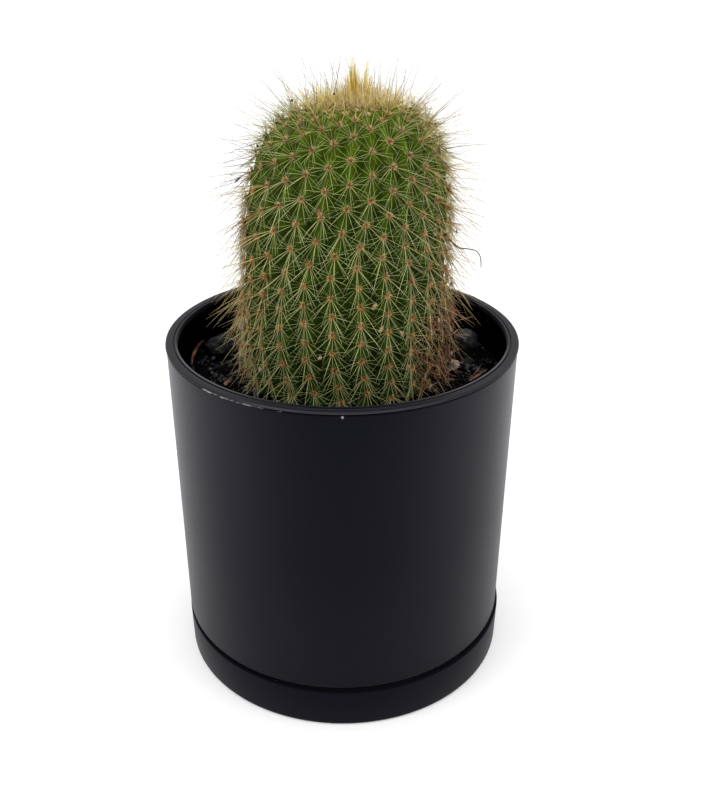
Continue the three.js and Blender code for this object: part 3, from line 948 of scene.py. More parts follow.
@dataclass
class Stem:
    """The ribbed stem and the rule that its areoles follow."""

    effects: Effects
    soil_top: float
    ribs: int = 26
    rib_depth: float = 2.7
    tubercle: float = 0.6
    side_calm: float = 0.75
    furrow_power: float = 1.7
    chin: float = 0.35
    unevenness: tuple[Span, ...] = ((0.5, 0.06), (0.12, 0.35))
    outline: tuple[Span, ...] = (
        (36.4, 0), (37.8, 15), (38.1, 27), (37.2, 42), (36.8, 57), (35.7, 72),
        (33, 83), (28.5, 92.2), (21, 98.5), (11, 101.6), (0, 101.3),
    )
    first_areole: float = 4.6
    low_step: float = 6.6
    high_step: float = 7.7
    step_change: tuple[float, float] = (38, 54)
    crown_margin: float = 2.0
    lean: float = 2.4
    crown_lean: float = 2.6
    wander: Wander = Wander()
    columns_per_rib: int = 12
    row_height: float = 0.75
    buried: float = 9.0
    samples: int = 60
    table: list[tuple[float, float, float]] = field(default_factory=list)
    rows: list[float] = field(default_factory=list)

    def __post_init__(self) -> None:
        """Samples the outline's arc length, radius and height, and places the rows of areoles."""
        curves = list(zip(*self.outline))
        spans = len(self.outline) - 1
        arc = 0.0
        last = self.outline[0]
        for step in range(spans * self.samples + 1):
            span = min(step // self.samples, spans - 1)
            share = (step - span * self.samples) / self.samples
            place = [on_curve(curve, span, share)[0] for curve in curves]
            arc += math.dist(last, place)
            last = place
            self.table.append((arc, *place))
        self.rows = self.arcs()

    @property
    def length(self) -> float:
        """The outline's arc length from the soil to the crown's middle."""
        return self.table[-1][0]

    def at(self, arc: float) -> tuple[float, float]:
        """Returns the outline's (radius, height) at an arc length; the buried foot tapers."""
        if arc <= 0:
            return self.table[0][1] + 0.25 * arc, arc
        low = min(bisect_right(self.table, arc, key=lambda row: row[0]), len(self.table) - 1) - 1
        (a0, r0, h0), (a1, r1, h1) = self.table[low:low + 2]
        share = min(1.0, (arc - a0) / max(a1 - a0, 1e-9))
        return lerp(r0, r1, share), lerp(h0, h1, share)

    def slope(self, low: float, high: float) -> Vector:
        """Returns the outline's direction between two arc lengths, as (radius, height)."""
        (r0, h0), (r1, h1) = self.at(low), self.at(high)
        return Vector((r1 - r0, h1 - h0)).normalized()

    def axis_x(self, height: float) -> float:
        """Returns how far the stem's axis leans towards +X at a height."""
        share = min(1.0, max(0.0, height / self.outline[-1][1]))
        return self.lean * share + self.crown_lean * share**6

    def half_step(self, arc: float) -> float:
        """Returns half the distance between two areoles of one rib."""
        full = lerp(self.low_step, self.high_step, smoothstep(arc, *self.step_change))
        return 0.5 * min(full, 0.3 * (self.length - arc) + 1.2)

    def arcs(self) -> list[float]:
        """Returns the arc length of each row of areoles; neighbouring ribs take turns."""
        rows = [self.first_areole]
        while rows[-1] + self.half_step(rows[-1]) < self.length - self.crown_margin:
            rows.append(rows[-1] + self.half_step(rows[-1]))
        return rows

    def point(self, radius: float, height: float, azimuth: float) -> Vector:
        """Returns a place by its distance from the leaning axis, height above soil and azimuth."""
        place = outward(azimuth) * radius
        return place + Vector((self.axis_x(height), 0, self.soil_top + height))

    def spot(self, azimuth: float, arc: float) -> AreoleFrame:
        """Returns the surface's frame at an azimuth and an arc length."""
        slope = self.slope(max(arc - 0.4, 0), arc + 0.4)
        away = outward(azimuth)
        up = (away * slope.x + UP * slope.y).normalized()
        normal = (away * slope.y - UP * slope.x).normalized()
        place = self.point(*self.at(arc), azimuth)
        return AreoleFrame(place, normal, up, up.cross(normal), arc, azimuth)

    def areoles(self) -> Iterator[AreoleFrame]:
        """Yields each areole's frame, row by row."""
        for row, arc in enumerate(self.rows):
            for rib in range(self.ribs):
                if (row + rib) % 2 == 0:
                    turns = rib / self.ribs
                    local = arc - self.wander.tilt(turns, arc)
                    spot = self.spot(self.wander.azimuth(turns, local), local)
                    yield replace(spot, place=self.on_skin(turns, arc)[0])

    def on_skin(self, turns: float, row_arc: float) -> tuple[Vector, float, float]:
        """Returns a place on the finished skin.

        Args:
            turns: The place among the ribs, as a share of the way round.
            row_arc: The place among the rows of areoles, as an arc length.

        Returns:
            The place, how near to a rib's crest it is, and its true arc length.
        """
        arc = row_arc - self.wander.tilt(turns, row_arc)
        rise, crest = self.relief(turns, row_arc)
        azimuth = self.wander.azimuth(turns, max(arc, 0))
        place = self.point(*self.at(arc), azimuth)
        uneven = sum(size * noise.noise(place * scale) for size, scale in self.unevenness)
        slope = self.slope(arc - 0.3, arc + 0.3)
        normal = outward(azimuth) * slope.y - UP * slope.x
        return place + normal * (rise + uneven * smoothstep(self.length - arc, 0, 20)), crest, arc

    def relief(self, turns: float, arc: float) -> Span:
        """Returns how far the skin stands off the outline, and how near to a rib's crest it is."""
        rib_place = turns * self.ribs
        rib = round(rib_place)
        off_crest = abs(rib_place - rib) * 2
        wave = math.cos(math.pi * (self.row_place(arc) - rib % 2))
        fade = smoothstep(self.length - arc, 3, 26) * smoothstep(arc, -self.buried, 0)
        furrow = self.rib_depth * (off_crest**self.furrow_power)
        calm = 1 - self.side_calm * abs(math.sin(TURN * turns)) ** 3
        notch = self.tubercle * calm * wave * (1 - off_crest**2)
        chin = self.chin * max(0.0, -wave) * off_crest
        return fade * (notch - furrow - chin), 1 - off_crest

    def row_place(self, arc: float) -> float:
        """Returns an arc length as a place among the rows, whole numbers falling on the rows."""
        rows = self.rows
        if arc > rows[-1]:
            return len(rows) - 1 + (arc - rows[-1]) / (rows[-1] - rows[-2])
        row = max(bisect_left(rows, arc) - 1, 0)
        return row + (arc - rows[row]) / (rows[row + 1] - rows[row])

    def body(self) -> BMesh:
        """Returns the skin: a fine grid laid round the stem and raised by the ribs' formula."""
        bm = bmesh.new()
        bmesh.ops.create_grid(bm, x_segments=self.ribs * self.columns_per_rib,
                              y_segments=round((self.length + self.buried) / self.row_height),
                              size=0.5)
        crest_layer = bm.verts.layers.float.new("crest")
        climb_layer = bm.verts.layers.float.new("climb")
        for vert in bm.verts:
            row_arc = lerp(-self.buried, self.length, vert.co.y + 0.5)
            vert.co, crest, arc = self.on_skin(vert.co.x + 0.5, row_arc)
            vert[crest_layer] = crest
            vert[climb_layer] = max(0.0, arc) / self.length
        bmesh.ops.remove_doubles(bm, verts=bm.verts, dist=1e-3)
        rim = [e for e in bm.edges if e.is_boundary]
        bmesh.ops.holes_fill(bm, edges=rim, sides=0)
        bmesh.ops.recalc_face_normals(bm, faces=bm.faces)
        return bm

    def build(self) -> None:
        """Makes the skin and hides the solid cactus that the skin and its spines stand for."""
        skin = SkinFinish().make(self.effects)
        piece = new_piece("cactus_stem", self.body(), skin, Slot.SKIN)
        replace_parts(piece, "cactus")


# The spines


class SpineFinishes(Enum):
    """The spines' colours from root to tip."""

    PALE = ((0.0, (0.28, 0.13, 0.04)), (0.07, (0.47, 0.33, 0.13)), (0.18, (0.52, 0.54, 0.22)),
            (0.45, (0.55, 0.65, 0.28)), (1.0, (0.46, 0.52, 0.22)))
    GOLD = ((0.0, (0.28, 0.11, 0.03)), (0.06, (0.52, 0.34, 0.12)), (0.2, (0.62, 0.59, 0.26)),
            (0.7, (0.68, 0.67, 0.36)), (1.0, (0.50, 0.45, 0.26)))
    HAIR = ((0.0, (0.34, 0.19, 0.06)), (0.3, (0.22, 0.15, 0.075)), (0.7, (0.11, 0.08, 0.055)),
            (1.0, (0.09, 0.07, 0.055)))
    STAR = ((0.0, (0.34, 0.14, 0.03)), (0.25, (0.51, 0.26, 0.07)), (0.6, (0.65, 0.46, 0.19)),
            (1.0, (0.70, 0.57, 0.30)))
    COLLAR = ((0.0, (0.44, 0.26, 0.04)), (0.15, (0.76, 0.57, 0.13)), (0.5, (0.88, 0.74, 0.27)),
              (1.0, (0.68, 0.57, 0.30)))
    TUFT = ((0.0, (0.74, 0.42, 0.010)), (0.3, (0.88, 0.58, 0.012)), (0.65, (0.88, 0.63, 0.06)),
            (0.9, (0.62, 0.48, 0.17)), (1.0, (0.32, 0.25, 0.12)))
    DRY = ((0.0, (0.09, 0.03, 0.018)), (0.35, (0.33, 0.165, 0.095)), (1.0, (0.64, 0.47, 0.32)))
    BLEACHED = ((0.0, (0.34, 0.19, 0.11)), (0.4, (0.56, 0.39, 0.26)), (1.0, (0.74, 0.60, 0.46)))


@dataclass(frozen=True)
class SpineShape:
    """A slender tapering cone that bends towards one side."""

    bend: float
    kink: float
    segments: int
    sides: int
    tip: float

    def template(self) -> bpy.types.Mesh:
        """Returns the straight spine as a mesh of length 1 and root radius 1 along +Z."""
        bm = bmesh.new()
        bmesh.ops.create_cone(bm, cap_ends=True, cap_tris=True, segments=self.sides, radius1=1,
                              radius2=self.tip, depth=1)
        bmesh.ops.translate(bm, vec=(0, 0, 0.5), verts=bm.verts)
        slice_up(bm, self.segments, 0.0)
        along, *_ = [bm.verts.layers.float.new(name) for name in Planting.layers]
        for vert in bm.verts:
            vert[along] = vert.co.z
        return template_from(bm, "spine_template")

    def offset(self, share: float) -> float:
        """Returns how far the spine stands off its straight line, as a share of its length."""
        return self.bend * share**2 + self.kink * math.sin(math.pi * share)


class Planting:
    """A mesh that spines are planted in one by one."""

    variants = 12
    layers = ("along", "tone", "warmth")

    def __init__(self, rng: random.Random, bend: float, segments: int = 3, sides: int = 3,
                 tip: float = 0.2, kink: float = 0.02) -> None:
        """Makes the spine templates that the planting takes its spines from.

        Args:
            rng: Where its random draws come from.
            bend: The most that a tip bends, as a share of the spine's length.
            segments: Faces along a spine.
            sides: Faces round a spine.
            tip: The tip's radius as a share of the root's.
            kink: The most that a spine bows aside, as a share of its length.
        """
        self.rng = rng
        self.bm = bmesh.new()
        for layer in self.layers:
            self.bm.verts.layers.float.new(layer)
        self.shapes = []
        for i in range(self.variants):
            own_bend = bend * (i + 0.5) / self.variants
            shape = SpineShape(own_bend, rng.uniform(-kink, kink), segments, sides, tip)
            mesh = shape.template()
            self.shapes.append((shape, mesh, [v.co.copy() for v in mesh.vertices]))

    def plant(self, root: Vector, aim: Vector, bend_to: Vector, length: float, radius: float,
              warmth: float = 0.0, painted_shade: float = 1.0) -> None:
        """Adds one spine.

        Args:
            root: Where it grows from.
            aim: The direction it starts in.
            bend_to: The side that its tip bends towards.
            length: Its length.
            radius: Its radius at the root.
            warmth: How golden it is, from 0 to 1.
            painted_shade: What its own tone is multiplied by.
        """
        shape, mesh, straight = self.rng.choice(self.shapes)
        forward = aim.normalized()
        side = bend_to - forward * bend_to.dot(forward)
        side = side.normalized() if side.length > 1e-4 else side_of(forward)
        third = forward.cross(side)
        for vert, co in zip(mesh.vertices, straight):
            off = co.x * radius + shape.offset(co.z) * length
            vert.co = root + forward * (co.z * length) + side * off + third * (co.y * radius)
        for layer, value in (("tone", self.rng.random() * painted_shade), ("warmth", warmth)):
            values = mesh.attributes[layer].data
            values.foreach_set("value", [value] * len(values))
        self.bm.from_mesh(mesh)

    def finish(self, name: str, colours: SpineFinishes, slot: Slot = Slot.SKIN,
               tones: Span = SpineFinish.tones, glow: float = 0.0) -> None:
        """Turns the planting into one piece.

        Args:
            name: The piece's name.
            colours: The colours from root to tip.
            slot: The record's material slot.
            tones: What the darkest and the brightest spine's colour is multiplied by.
            glow: How much light shines through, from 0 to 1.
        """
        material = SpineFinish(name, colours.value, tones, glow=glow).make()
        new_piece(name, self.bm, material, slot)


@dataclass(frozen=True)
class Tuft:
    """A bunch of upright spines: its place from the crown's middle, its size, lean and count."""

    across: float
    behind: float
    radius: float
    height: float
    lean: float
    count: int


@dataclass
class Spines:
    """All the spines: an areole's star, its radials and longer centrals, and the golden crown."""

    stem: Stem
    effects: Effects
    rng: random.Random
    soil_clearance: float = 1.0
    radial_count: int = 15
    radial_crowding: float = 0.12
    radial_down: float = 9.4
    radial_up: float = 3.4
    radial_high: float = 7.0
    radial_radius: Span = (0.075, 0.11)
    radial_lift: Span = (12, 28)
    central_droop: Span = (52, 33)
    central_swing: float = 0.62
    central_radius: Span = (0.09, 0.13)
    star_count: int = 18
    star_length: float = 1.62
    star_radius: Span = (0.22, 0.3)
    star_lift: Span = (18, 62)
    hair_arcs: Span = (66, 118)
    hair_length: Span = (12.0, 20.0)
    hair_radius: Span = (0.075, 0.105)
    hair_share: float = 0.85
    crown_hair_share: float = 0.9
    crown_arc: float = 105.0
    single_arc: float = 108.0
    collar_radius: float = 13.5
    collar_count: int = 56
    collar_length: Span = (4.0, 8.5)
    collar_spine_radius: Span = (0.075, 0.125)
    tuft_spine_radius: Span = (0.13, 0.18)
    core_size: Span = (0.55, 0.7)
    dark_arcs: Span = (58, 90)
    withered_sides: Span = (46, 98)
    withered_top: float = 36.0
    withered_radials: int = 5
    tufts: tuple[Tuft, ...] = (
        Tuft(-1.4, 0, 1.4, 20.0, 0.0, 50), Tuft(0.3, 0, 2.2, 14.5, 0.03, 60),
        Tuft(2.0, 0, 1.7, 16.5, 0.12, 36), Tuft(-2.1, 0, 0.6, 23.5, 0.01, 12),
        Tuft(-11.6, 0, 1.4, 9.0, -0.1, 16), Tuft(0.6, 0, 5.4, 8.5, 0.03, 54),
    )

    def build(self) -> None:
        """Makes the spine pieces and the cores of the areoles."""
        radials = Planting(self.rng, bend=0.07, segments=2, tip=0.4)
        centrals = Planting(self.rng, bend=0.10, segments=4, tip=0.25)
        hairs = Planting(self.rng, bend=0.16, segments=5, tip=0.3)
        stars = Planting(self.rng, bend=0.1, segments=1, tip=0.35)
        cores = bmesh.new()
        dents = ((1.6, 0.5), (4.0, 0.25))
        pad = template_from(lump_mesh((1, 1, 1), 2, dents, 3.3), "core_template")
        collar = self.collar()
        for spot in self.stem.areoles():
            warmth = self.warmth(spot)
            young = spot.arc > self.crown_arc
            self.plant_star(stars, spot, warmth)
            self.plant_radials(collar if young else radials, spot, warmth)
            dark = self.is_dark(spot)
            self.plant_centrals(collar if young else hairs if dark else centrals, spot, warmth)
            self.plant_hair(hairs, spot)
            self.add_core(cores, pad, spot)
        radials.finish("radial_spines", SpineFinishes.PALE)
        centrals.finish("central_spines", SpineFinishes.GOLD)
        hairs.finish("long_crown_hairs", SpineFinishes.HAIR)
        stars.finish("areole_stars", SpineFinishes.STAR)
        collar.finish("crown_collar", SpineFinishes.COLLAR, tones=(0.5, 1.5), glow=0.7)
        self.crown_tufts().finish("crown_tuft", SpineFinishes.TUFT, tones=(0.7, 1.15), glow=0.8)
        felt = EarthFinish("areole_felt", dark=(0.13, 0.045, 0.013), light=(0.31, 0.14, 0.045),
                           scale=1100.0, roughness=0.9, relief=0.1, specular=0.1)
        new_piece("areole_cores", cores, felt.make(self.effects), Slot.SKIN)

    def warmth(self, spot: AreoleFrame) -> float:
        """Returns how golden an areole's spines are: most on the flanks, least low at the front."""
        right = 0.75 * smoothstep(spot.degrees, 34, 70)
        near_left = 0.8 * smoothstep(-spot.degrees, 34, 58) * smoothstep(spot.arc, 20, 36)
        left = max(smoothstep(-spot.degrees, 50, 80), near_left)
        left *= 0.8 * (1 - 0.6 * smoothstep(spot.arc, 66, 90))
        low = 0.1 * (1 - smoothstep(spot.arc, 20, 60))
        clump = 0.5 + 0.5 * math.sin(5 * spot.azimuth + 0.9 * spot.arc)
        crown = (0.1 + 0.7 * clump) * smoothstep(spot.arc, 88, 104)
        return max(right, left, low, crown)

    def is_withered(self, spot: AreoleFrame) -> bool:
        """Tells whether an areole sits among the dead strands low on the right."""
        first, last = self.withered_sides
        return spot.arc < self.withered_top and first < spot.degrees < last

    def is_dark(self, spot: AreoleFrame) -> bool:
        """Tells whether an areole's centrals are dark; some are, high on the left."""
        low, high = self.dark_arcs
        return math.sin(spot.azimuth) < -0.75 and low < spot.arc < high and self.rng.random() < 0.6

    def around(self, warmth: float) -> float:
        """Returns a spine's own warmth, drawn about its areole's."""
        return min(1.0, max(0.0, warmth + self.rng.gauss(0, 0.18)))

    def add_core(self, cores: BMesh, pad: bpy.types.Mesh, spot: AreoleFrame) -> None:
        """Adds the small dark felt cushion in an areole's middle.

        Args:
            cores: What takes the cushion.
            pad: The cushion's template.
            spot: The areole.
        """
        size = self.rng.uniform(*self.core_size)
        spin = Matrix.Rotation(self.rng.uniform(0, TURN), 4, "Z")
        scale = Matrix.Diagonal((size, size * 1.15, size * 0.7, 1))
        place = Matrix.Translation(spot.place + spot.normal * 0.1)
        scatter(cores, pad, place @ spot.turn @ spin @ scale)

    def plant_star(self, planting: Planting, spot: AreoleFrame, warmth: float) -> None:
        """Plants the thick tan roots of an areole's spines, which look like a small star.

        Args:
            planting: What takes the spines.
            spot: The areole.
            warmth: How golden they are, from 0 to 1.
        """
        rng = self.rng
        size = self.star_length * (1 - 0.25 * smoothstep(spot.arc, 100, 118))
        low = 1 - smoothstep(spot.arc, 50, 90)
        for i in range(self.star_count):
            turn = TURN * (i + rng.uniform(-0.3, 0.3)) / self.star_count
            flat = spot.aside(turn)
            aim = spot.lifted(flat, math.radians(rng.uniform(*self.star_lift)))
            root = spot.place + flat * 0.15 - spot.normal * 0.1
            length = size * rng.uniform(0.86, 1.1)
            own = self.around(0.4 * warmth + 0.6 * low)
            planting.plant(root, aim, spot.normal, length, rng.uniform(*self.star_radius), own)

    def clear(self, root: Vector, aim: Vector, length: float) -> tuple[Vector, float]:
        """Keeps a spine off the soil: it is cut short, and then turned up as far as it needs.

        Args:
            root: Where it grows from.
            aim: Its direction.
            length: Its length.

        Returns:
            Its new direction and length.
        """
        aim = aim.normalized()
        room = root.z - self.stem.soil_top - self.soil_clearance
        if aim.z * length >= -room:
            return aim, length
        length = max(min(length, room / -aim.z), 0.55 * length) if room > 0 else 0.55 * length
        rise = min(max(-room / length, -0.98), 0.4)
        if aim.z >= rise:
            return aim, length
        level = Vector((aim.x, aim.y, 0)).normalized()
        return level * math.sqrt(1 - rise * rise) + UP * rise, length

    def plant_radials(self, planting: Planting, spot: AreoleFrame, warmth: float) -> None:
        """Plants an areole's thin pale spines, longest and closest together on its lower side.

        Args:
            planting: What takes the spines.
            spot: The areole.
            warmth: How golden they are, from 0 to 1.
        """
        rng = self.rng
        even = smoothstep(spot.arc, 72, 104)
        young = smoothstep(spot.arc, 98, 106)
        count = self.radials_at(spot) - round(7 * young)
        for i in range(count):
            turn = TURN * (i + rng.uniform(-0.3, 0.3)) / count
            off_down = turn - self.radial_crowding * (1 - even) * math.sin(turn)
            flat = spot.aside(off_down)
            down = 0.5 + 0.5 * math.cos(off_down)
            lift = rng.uniform(*self.radial_lift) + 14 * even + 12 * (1 - down)
            aim = spot.lifted(flat, math.radians(lift))
            reach = lerp(self.radial_up, self.radial_down, down**0.8)
            length = lerp(reach, self.radial_high, even) * rng.uniform(0.84, 1.14)
            root = spot.place + flat * 0.35
            bend_to = -spot.normal if rng.random() < 0.6 else spot.across * rng.choice((-1, 1))
            length *= 1 + 0.15 * young * rng.uniform(-1, 1.6)
            length *= 1 - 0.4 * young * smoothstep(math.cos(spot.azimuth), 0.75, 0.95)
            radius = rng.uniform(*self.radial_radius) * (1 - 0.2 * young)
            # Painted shade: radials on an areole's upper side are darker, less so high up the stem.
            painted_shade = lerp(lerp(0.3, 1.0, smoothstep(down, 0.05, 0.55)), 0.9, even)
            own = self.around(warmth)
            aim, length = self.clear(root, aim, length)
            planting.plant(root, aim, bend_to, length, radius, own, painted_shade)

    def radials_at(self, spot: AreoleFrame) -> int:
        """Returns how many radials an areole has: more high up and aside, few where it withers."""
        count = self.radial_count + self.rng.randint(-1, 1)
        if self.is_withered(spot):
            return self.withered_radials
        right = math.sin(spot.azimuth)
        side = abs(right)
        shoulder = smoothstep(right, 0.6, 0.85) * smoothstep(spot.arc, 78, 92)
        foot = smoothstep(side, 0.8, 0.97) * (1 - smoothstep(spot.arc, 30, 56))
        flank = smoothstep(side, 0.3, 0.65) * (1 - smoothstep(side, 0.85, 0.95))
        count += round(2.5 * smoothstep(spot.arc, 86, 100))
        return count + round(8 * shoulder) - round(6 * foot) + round(2.4 * flank)

    def plant_centrals(self, planting: Planting, spot: AreoleFrame, warmth: float) -> None:
        """Plants an areole's longer spines, which droop low down and shorten at the crown.

        Args:
            planting: What takes the spines.
            spot: The areole.
            warmth: How golden they are, from 0 to 1.
        """
        rng = self.rng
        high = smoothstep(spot.arc, 82, 98)
        side = abs(math.sin(spot.azimuth))
        edge = smoothstep(side, 0.9, 0.97) * (1 - smoothstep(spot.arc, 32, 46))
        count = rng.choice((2, 3, 3)) + round(1.2 * side) - round(1.6 * edge)
        if self.is_withered(spot) or spot.arc > self.single_arc:
            count = 1
        spread = 13 + 9 * side
        for i in range(count):
            droop = lerp(*self.central_droop, smoothstep(spot.arc, 18, 72)) * (1 - 0.85 * high)
            droop = math.radians(droop + rng.uniform(-spread, spread))
            swing = (i - (count - 1) / 2) * self.central_swing + rng.uniform(-0.2, 0.2)
            aim = spot.normal * math.cos(droop) - spot.up * math.sin(droop) + spot.across * swing
            length = rng.uniform(9.5 + 4 * side, 13.5 + 7.5 * side) * lerp(1, 0.85, high)
            length *= 1 - 0.3 * smoothstep(spot.arc, 100, 108)
            right = smoothstep(math.sin(spot.azimuth), 0.8, 0.92)
            length *= 1 + 0.16 * right * smoothstep(spot.arc, 30, 44)
            root = spot.place + spot.normal * 0.1
            radius = rng.uniform(*self.central_radius) * (1 + 0.12 * side)
            own = self.around(0.7 * warmth + 0.1)
            aim, length = self.clear(root, aim, length)
            planting.plant(root, aim, -UP, length, radius, own)

    def plant_hair(self, planting: Planting, spot: AreoleFrame) -> None:
        """Plants the one long thin hair that stands out of most of the areoles round the crown."""
        rng = self.rng
        low, high = self.hair_arcs
        share = lerp(self.hair_share, self.crown_hair_share, smoothstep(spot.arc, 92, 100))
        if not low < spot.arc < high or rng.random() > share:
            return
        aim = spot.normal + spot.across * rng.uniform(-0.35, 0.35)
        aim += spot.up * rng.uniform(-0.3, 0.25)
        length = rng.uniform(*self.hair_length) + 3 * smoothstep(spot.arc, 88, 98)
        length -= 6 * smoothstep(spot.arc, 104, 114)
        radius = rng.uniform(*self.hair_radius) + 0.025 * smoothstep(spot.arc, 82, 94)
        planting.plant(spot.place, aim, side_of(aim) * rng.choice((-1, 1)) - UP, length, radius)

    def collar(self) -> Planting:
        """Returns the low brush of pale gold spines that covers the crown."""
        rng = self.rng
        planting = Planting(rng, bend=0.12, segments=3)
        for i in range(self.collar_count):
            share = (i + 0.5) / self.collar_count
            azimuth = i * GOLDEN_TURN
            away = outward(azimuth)
            radius = self.collar_radius * math.sqrt(share)
            root = self.stem.point(radius, self.height_at_radius(radius), azimuth)
            aim = UP + away * (0.05 + 0.9 * share)
            aim += Vector((rng.uniform(-0.45, 0.45), rng.uniform(-0.45, 0.45), 0))
            before = smoothstep(-root.y, 1, 4) * (1 - smoothstep(abs(root.x), 4, 8))
            length = rng.uniform(*self.collar_length) * (1 - 0.5 * before)
            bend_to = away * rng.choice((-1, 1))
            radius = rng.uniform(*self.collar_spine_radius)
            planting.plant(root, aim, bend_to, length, radius, self.around(0.15))
        return planting

    def crown_tufts(self) -> Planting:
        """Returns the upright golden bunches in the crown's middle."""
        rng = self.rng
        planting = Planting(rng, bend=0.07, segments=5, tip=0.3)
        middle = self.stem.point(*self.stem.outline[-1], 0)
        for tuft in self.tufts:
            for i in range(tuft.count):
                share = (i + 0.5) / tuft.count
                away = outward(i * GOLDEN_TURN)
                foot = middle + Vector((tuft.across, tuft.behind, 0))
                foot += away * (tuft.radius * math.sqrt(share))
                foot.z -= 0.03 * (foot - middle).length_squared**0.5 + 0.6
                splay = rng.uniform(-0.06, 0.04 + 0.16 * share)
                aim = UP + Vector((tuft.lean, 0, 0)) + away * splay
                length = tuft.height * lerp(1.0, 0.6, share) * rng.uniform(0.5, 1.0)
                radius = rng.uniform(*self.tuft_spine_radius)
                planting.plant(foot, aim, away, length, radius, rng.uniform(0, 0.3))
        return planting

    def height_at_radius(self, radius: float) -> float:
        """Returns the crown's height above the soil at a distance from its middle."""
        return next(height for _, r, height in reversed(self.stem.table) if r >= radius)


@dataclass(frozen=True)
class Speck:
    """A small bit caught on the stem.

    It has an azimuth in degrees, an arc, a distance off the skin and a half size. Its tilt is its
    slope in degrees as seen from the front; without one it lies along the skin.
    """

    azimuth: float
    arc: float
    off: float
    size: float
    tilt: float | None = None


@dataclass
class Litter:
    """What has dried or been caught on the stem: dead strands, bleached hairs, bits and a thread.

    A patch is its azimuths in degrees, its arcs and its count of strands.
    """

    stem: Stem
    effects: Effects
    rng: random.Random
    clearance: float = 0.6
    tangle_count: int = 300
    curl_count: int = 105
    tangle_patch: tuple[Span, Span] = ((44, 98), (0, 34))
    flank: tuple[Span, Span, int] = ((58, 100), (12, 66), 26)
    curtains: tuple[tuple[Span, Span, int], ...] = (
        ((-104, -78), (10, 74), 70), ((74, 104), (36, 84), 110), ((60, 110), (84, 106), 150),
    )
    fuzz: tuple[tuple[Span, Span, int], ...] = (
        ((-98, -56), (0, 15), 60), ((-102, -80), (10, 72), 160),
        ((-104, -80), (44, 64), 150), ((80, 102), (44, 74), 110),
    )
    grit: tuple[Speck, ...] = (
        Speck(-91, 104.5, 4.0, 0.6), Speck(-54, 116, 4.0, 0.45), Speck(-13, 112.5, 1.6, 0.4),
        Speck(9, 112, 1.6, 0.5), Speck(96, 117, 1.6, 0.65), Speck(99, 115.5, 2.4, 0.5),
        Speck(95, 111.5, 1.6, 0.6), Speck(76, 106, 1.6, 0.55), Speck(-82, 88, 1.6, 0.6),
        Speck(-72, 90.5, 1.2, 0.5), Speck(84, 96, 2.4, 0.5),
    )
    slivers: tuple[Speck, ...] = (
        Speck(-73, 77, 5.2, 1.5, 40), Speck(72, 60, 4.6, 1.0), Speck(64, 30, 2.6, 1.2),
    )
    tan_bits: tuple[Speck, ...] = (
        Speck(16, 41, 1.6, 1.2), Speck(-11, 22.5, 1.4, 1.1), Speck(20, 32.5, 1.5, 1.1),
        Speck(32, 29.5, 1.5, 1.2), Speck(37, 16, 1.6, 1.2), Speck(77, 21, 3.0, 1.6),
        Speck(-62, 28, 1.8, 1.1), Speck(55, 62, 1.5, 0.9), Speck(86, 48, 0.8, 2.0),
        Speck(82, 40, 0.8, 1.8), Speck(-86, 52, 0.6, 2.2), Speck(-84, 45, 0.5, 1.8),
    )
    red_flakes: tuple[Speck, ...] = (
        Speck(-14, 73, 1.2, 1.2), Speck(38, 48, 1.4, 1.6), Speck(42, 20.5, 1.6, 1.6),
        Speck(68, 45.5, 2.4, 1.7), Speck(88, 10, 2.2, 1.9), Speck(64, 100.5, 1.4, 0.9),
        Speck(-67, 5, 1.8, 2.0), Speck(52, 80, 1.2, 0.9), Speck(-62, 58, 1.0, 0.9),
        Speck(74, 30, 3.2, 1.5), Speck(60, 8, 3.6, 1.9), Speck(82, 26, 3.0, 1.8),
        Speck(84, 55, 0.7, 1.5), Speck(-84, 27, 0.5, 1.7),
    )
    white_bits: tuple[Speck, ...] = (
        Speck(-88, 7.5, 2.0, 1.7), Speck(-50, 11.5, 1.6, 1.0), Speck(70, 52.5, 2.4, 1.0),
        Speck(85, 37, 2.6, 1.2), Speck(59, 29.5, 2.2, 0.8), Speck(55, 4, 3.4, 0.9),
        Speck(66, 56, 2.8, 0.8), Speck(76, 12, 4.6, 1.3), Speck(-84, 19, 0.6, 1.8),
        Speck(-83, 56, 0.7, 1.6),
    )
    thread_route: tuple[Point, ...] = (
        (38, -6, 56), (42.3, -5, 51.8), (45.8, -4, 50.9), (48.9, -4, 50.2), (50.8, -4, 47.8),
        (51.3, -4, 43.7),
    )
    thread_radii: Span = (0.26, 0.16)
    thread_steps: int = 40
    bit_turn: Span = (0.7, 2.4)

    def build(self) -> None:
        """Makes the litter's pieces."""
        tangle = Planting(self.rng, bend=0.4, segments=5, kink=0.08)
        self.strew(tangle, (*self.tangle_patch, self.tangle_count), (4, 10.5), (0.1, 0.21),
                   warmth=0.6, wildness=0.7)
        tangle.finish("dry_tangle", SpineFinishes.DRY, Slot.BARK, (0.0, 1.55))
        curls = Planting(self.rng, bend=1.1, segments=6, kink=0.2)
        self.strew(curls, (*self.tangle_patch, self.curl_count), (3, 7), (0.2, 0.42),
                   warmth=0.5, wildness=1.0)
        curls.finish("dry_curls", SpineFinishes.DRY, Slot.BARK, (0.05, 0.9))
        flank = Planting(self.rng, bend=0.15, segments=4)
        self.strew(flank, self.flank, (8, 15), (0.09, 0.13), warmth=0.6)
        for patch in self.curtains:
            self.strew(flank, patch, (4, 9), (0.07, 0.12), warmth=0.7, wildness=0.4)
        flank.finish("golden_flank_spines", SpineFinishes.GOLD, tones=(0.5, 1.4), glow=0.5)
        hairs = Planting(self.rng, bend=0.25, segments=4)
        for patch in self.fuzz:
            self.strew(hairs, patch, (3.5, 8), (0.09, 0.14), wildness=0.5)
        hairs.finish("bleached_hairs", SpineFinishes.BLEACHED)
        self.bits()
        self.thread()

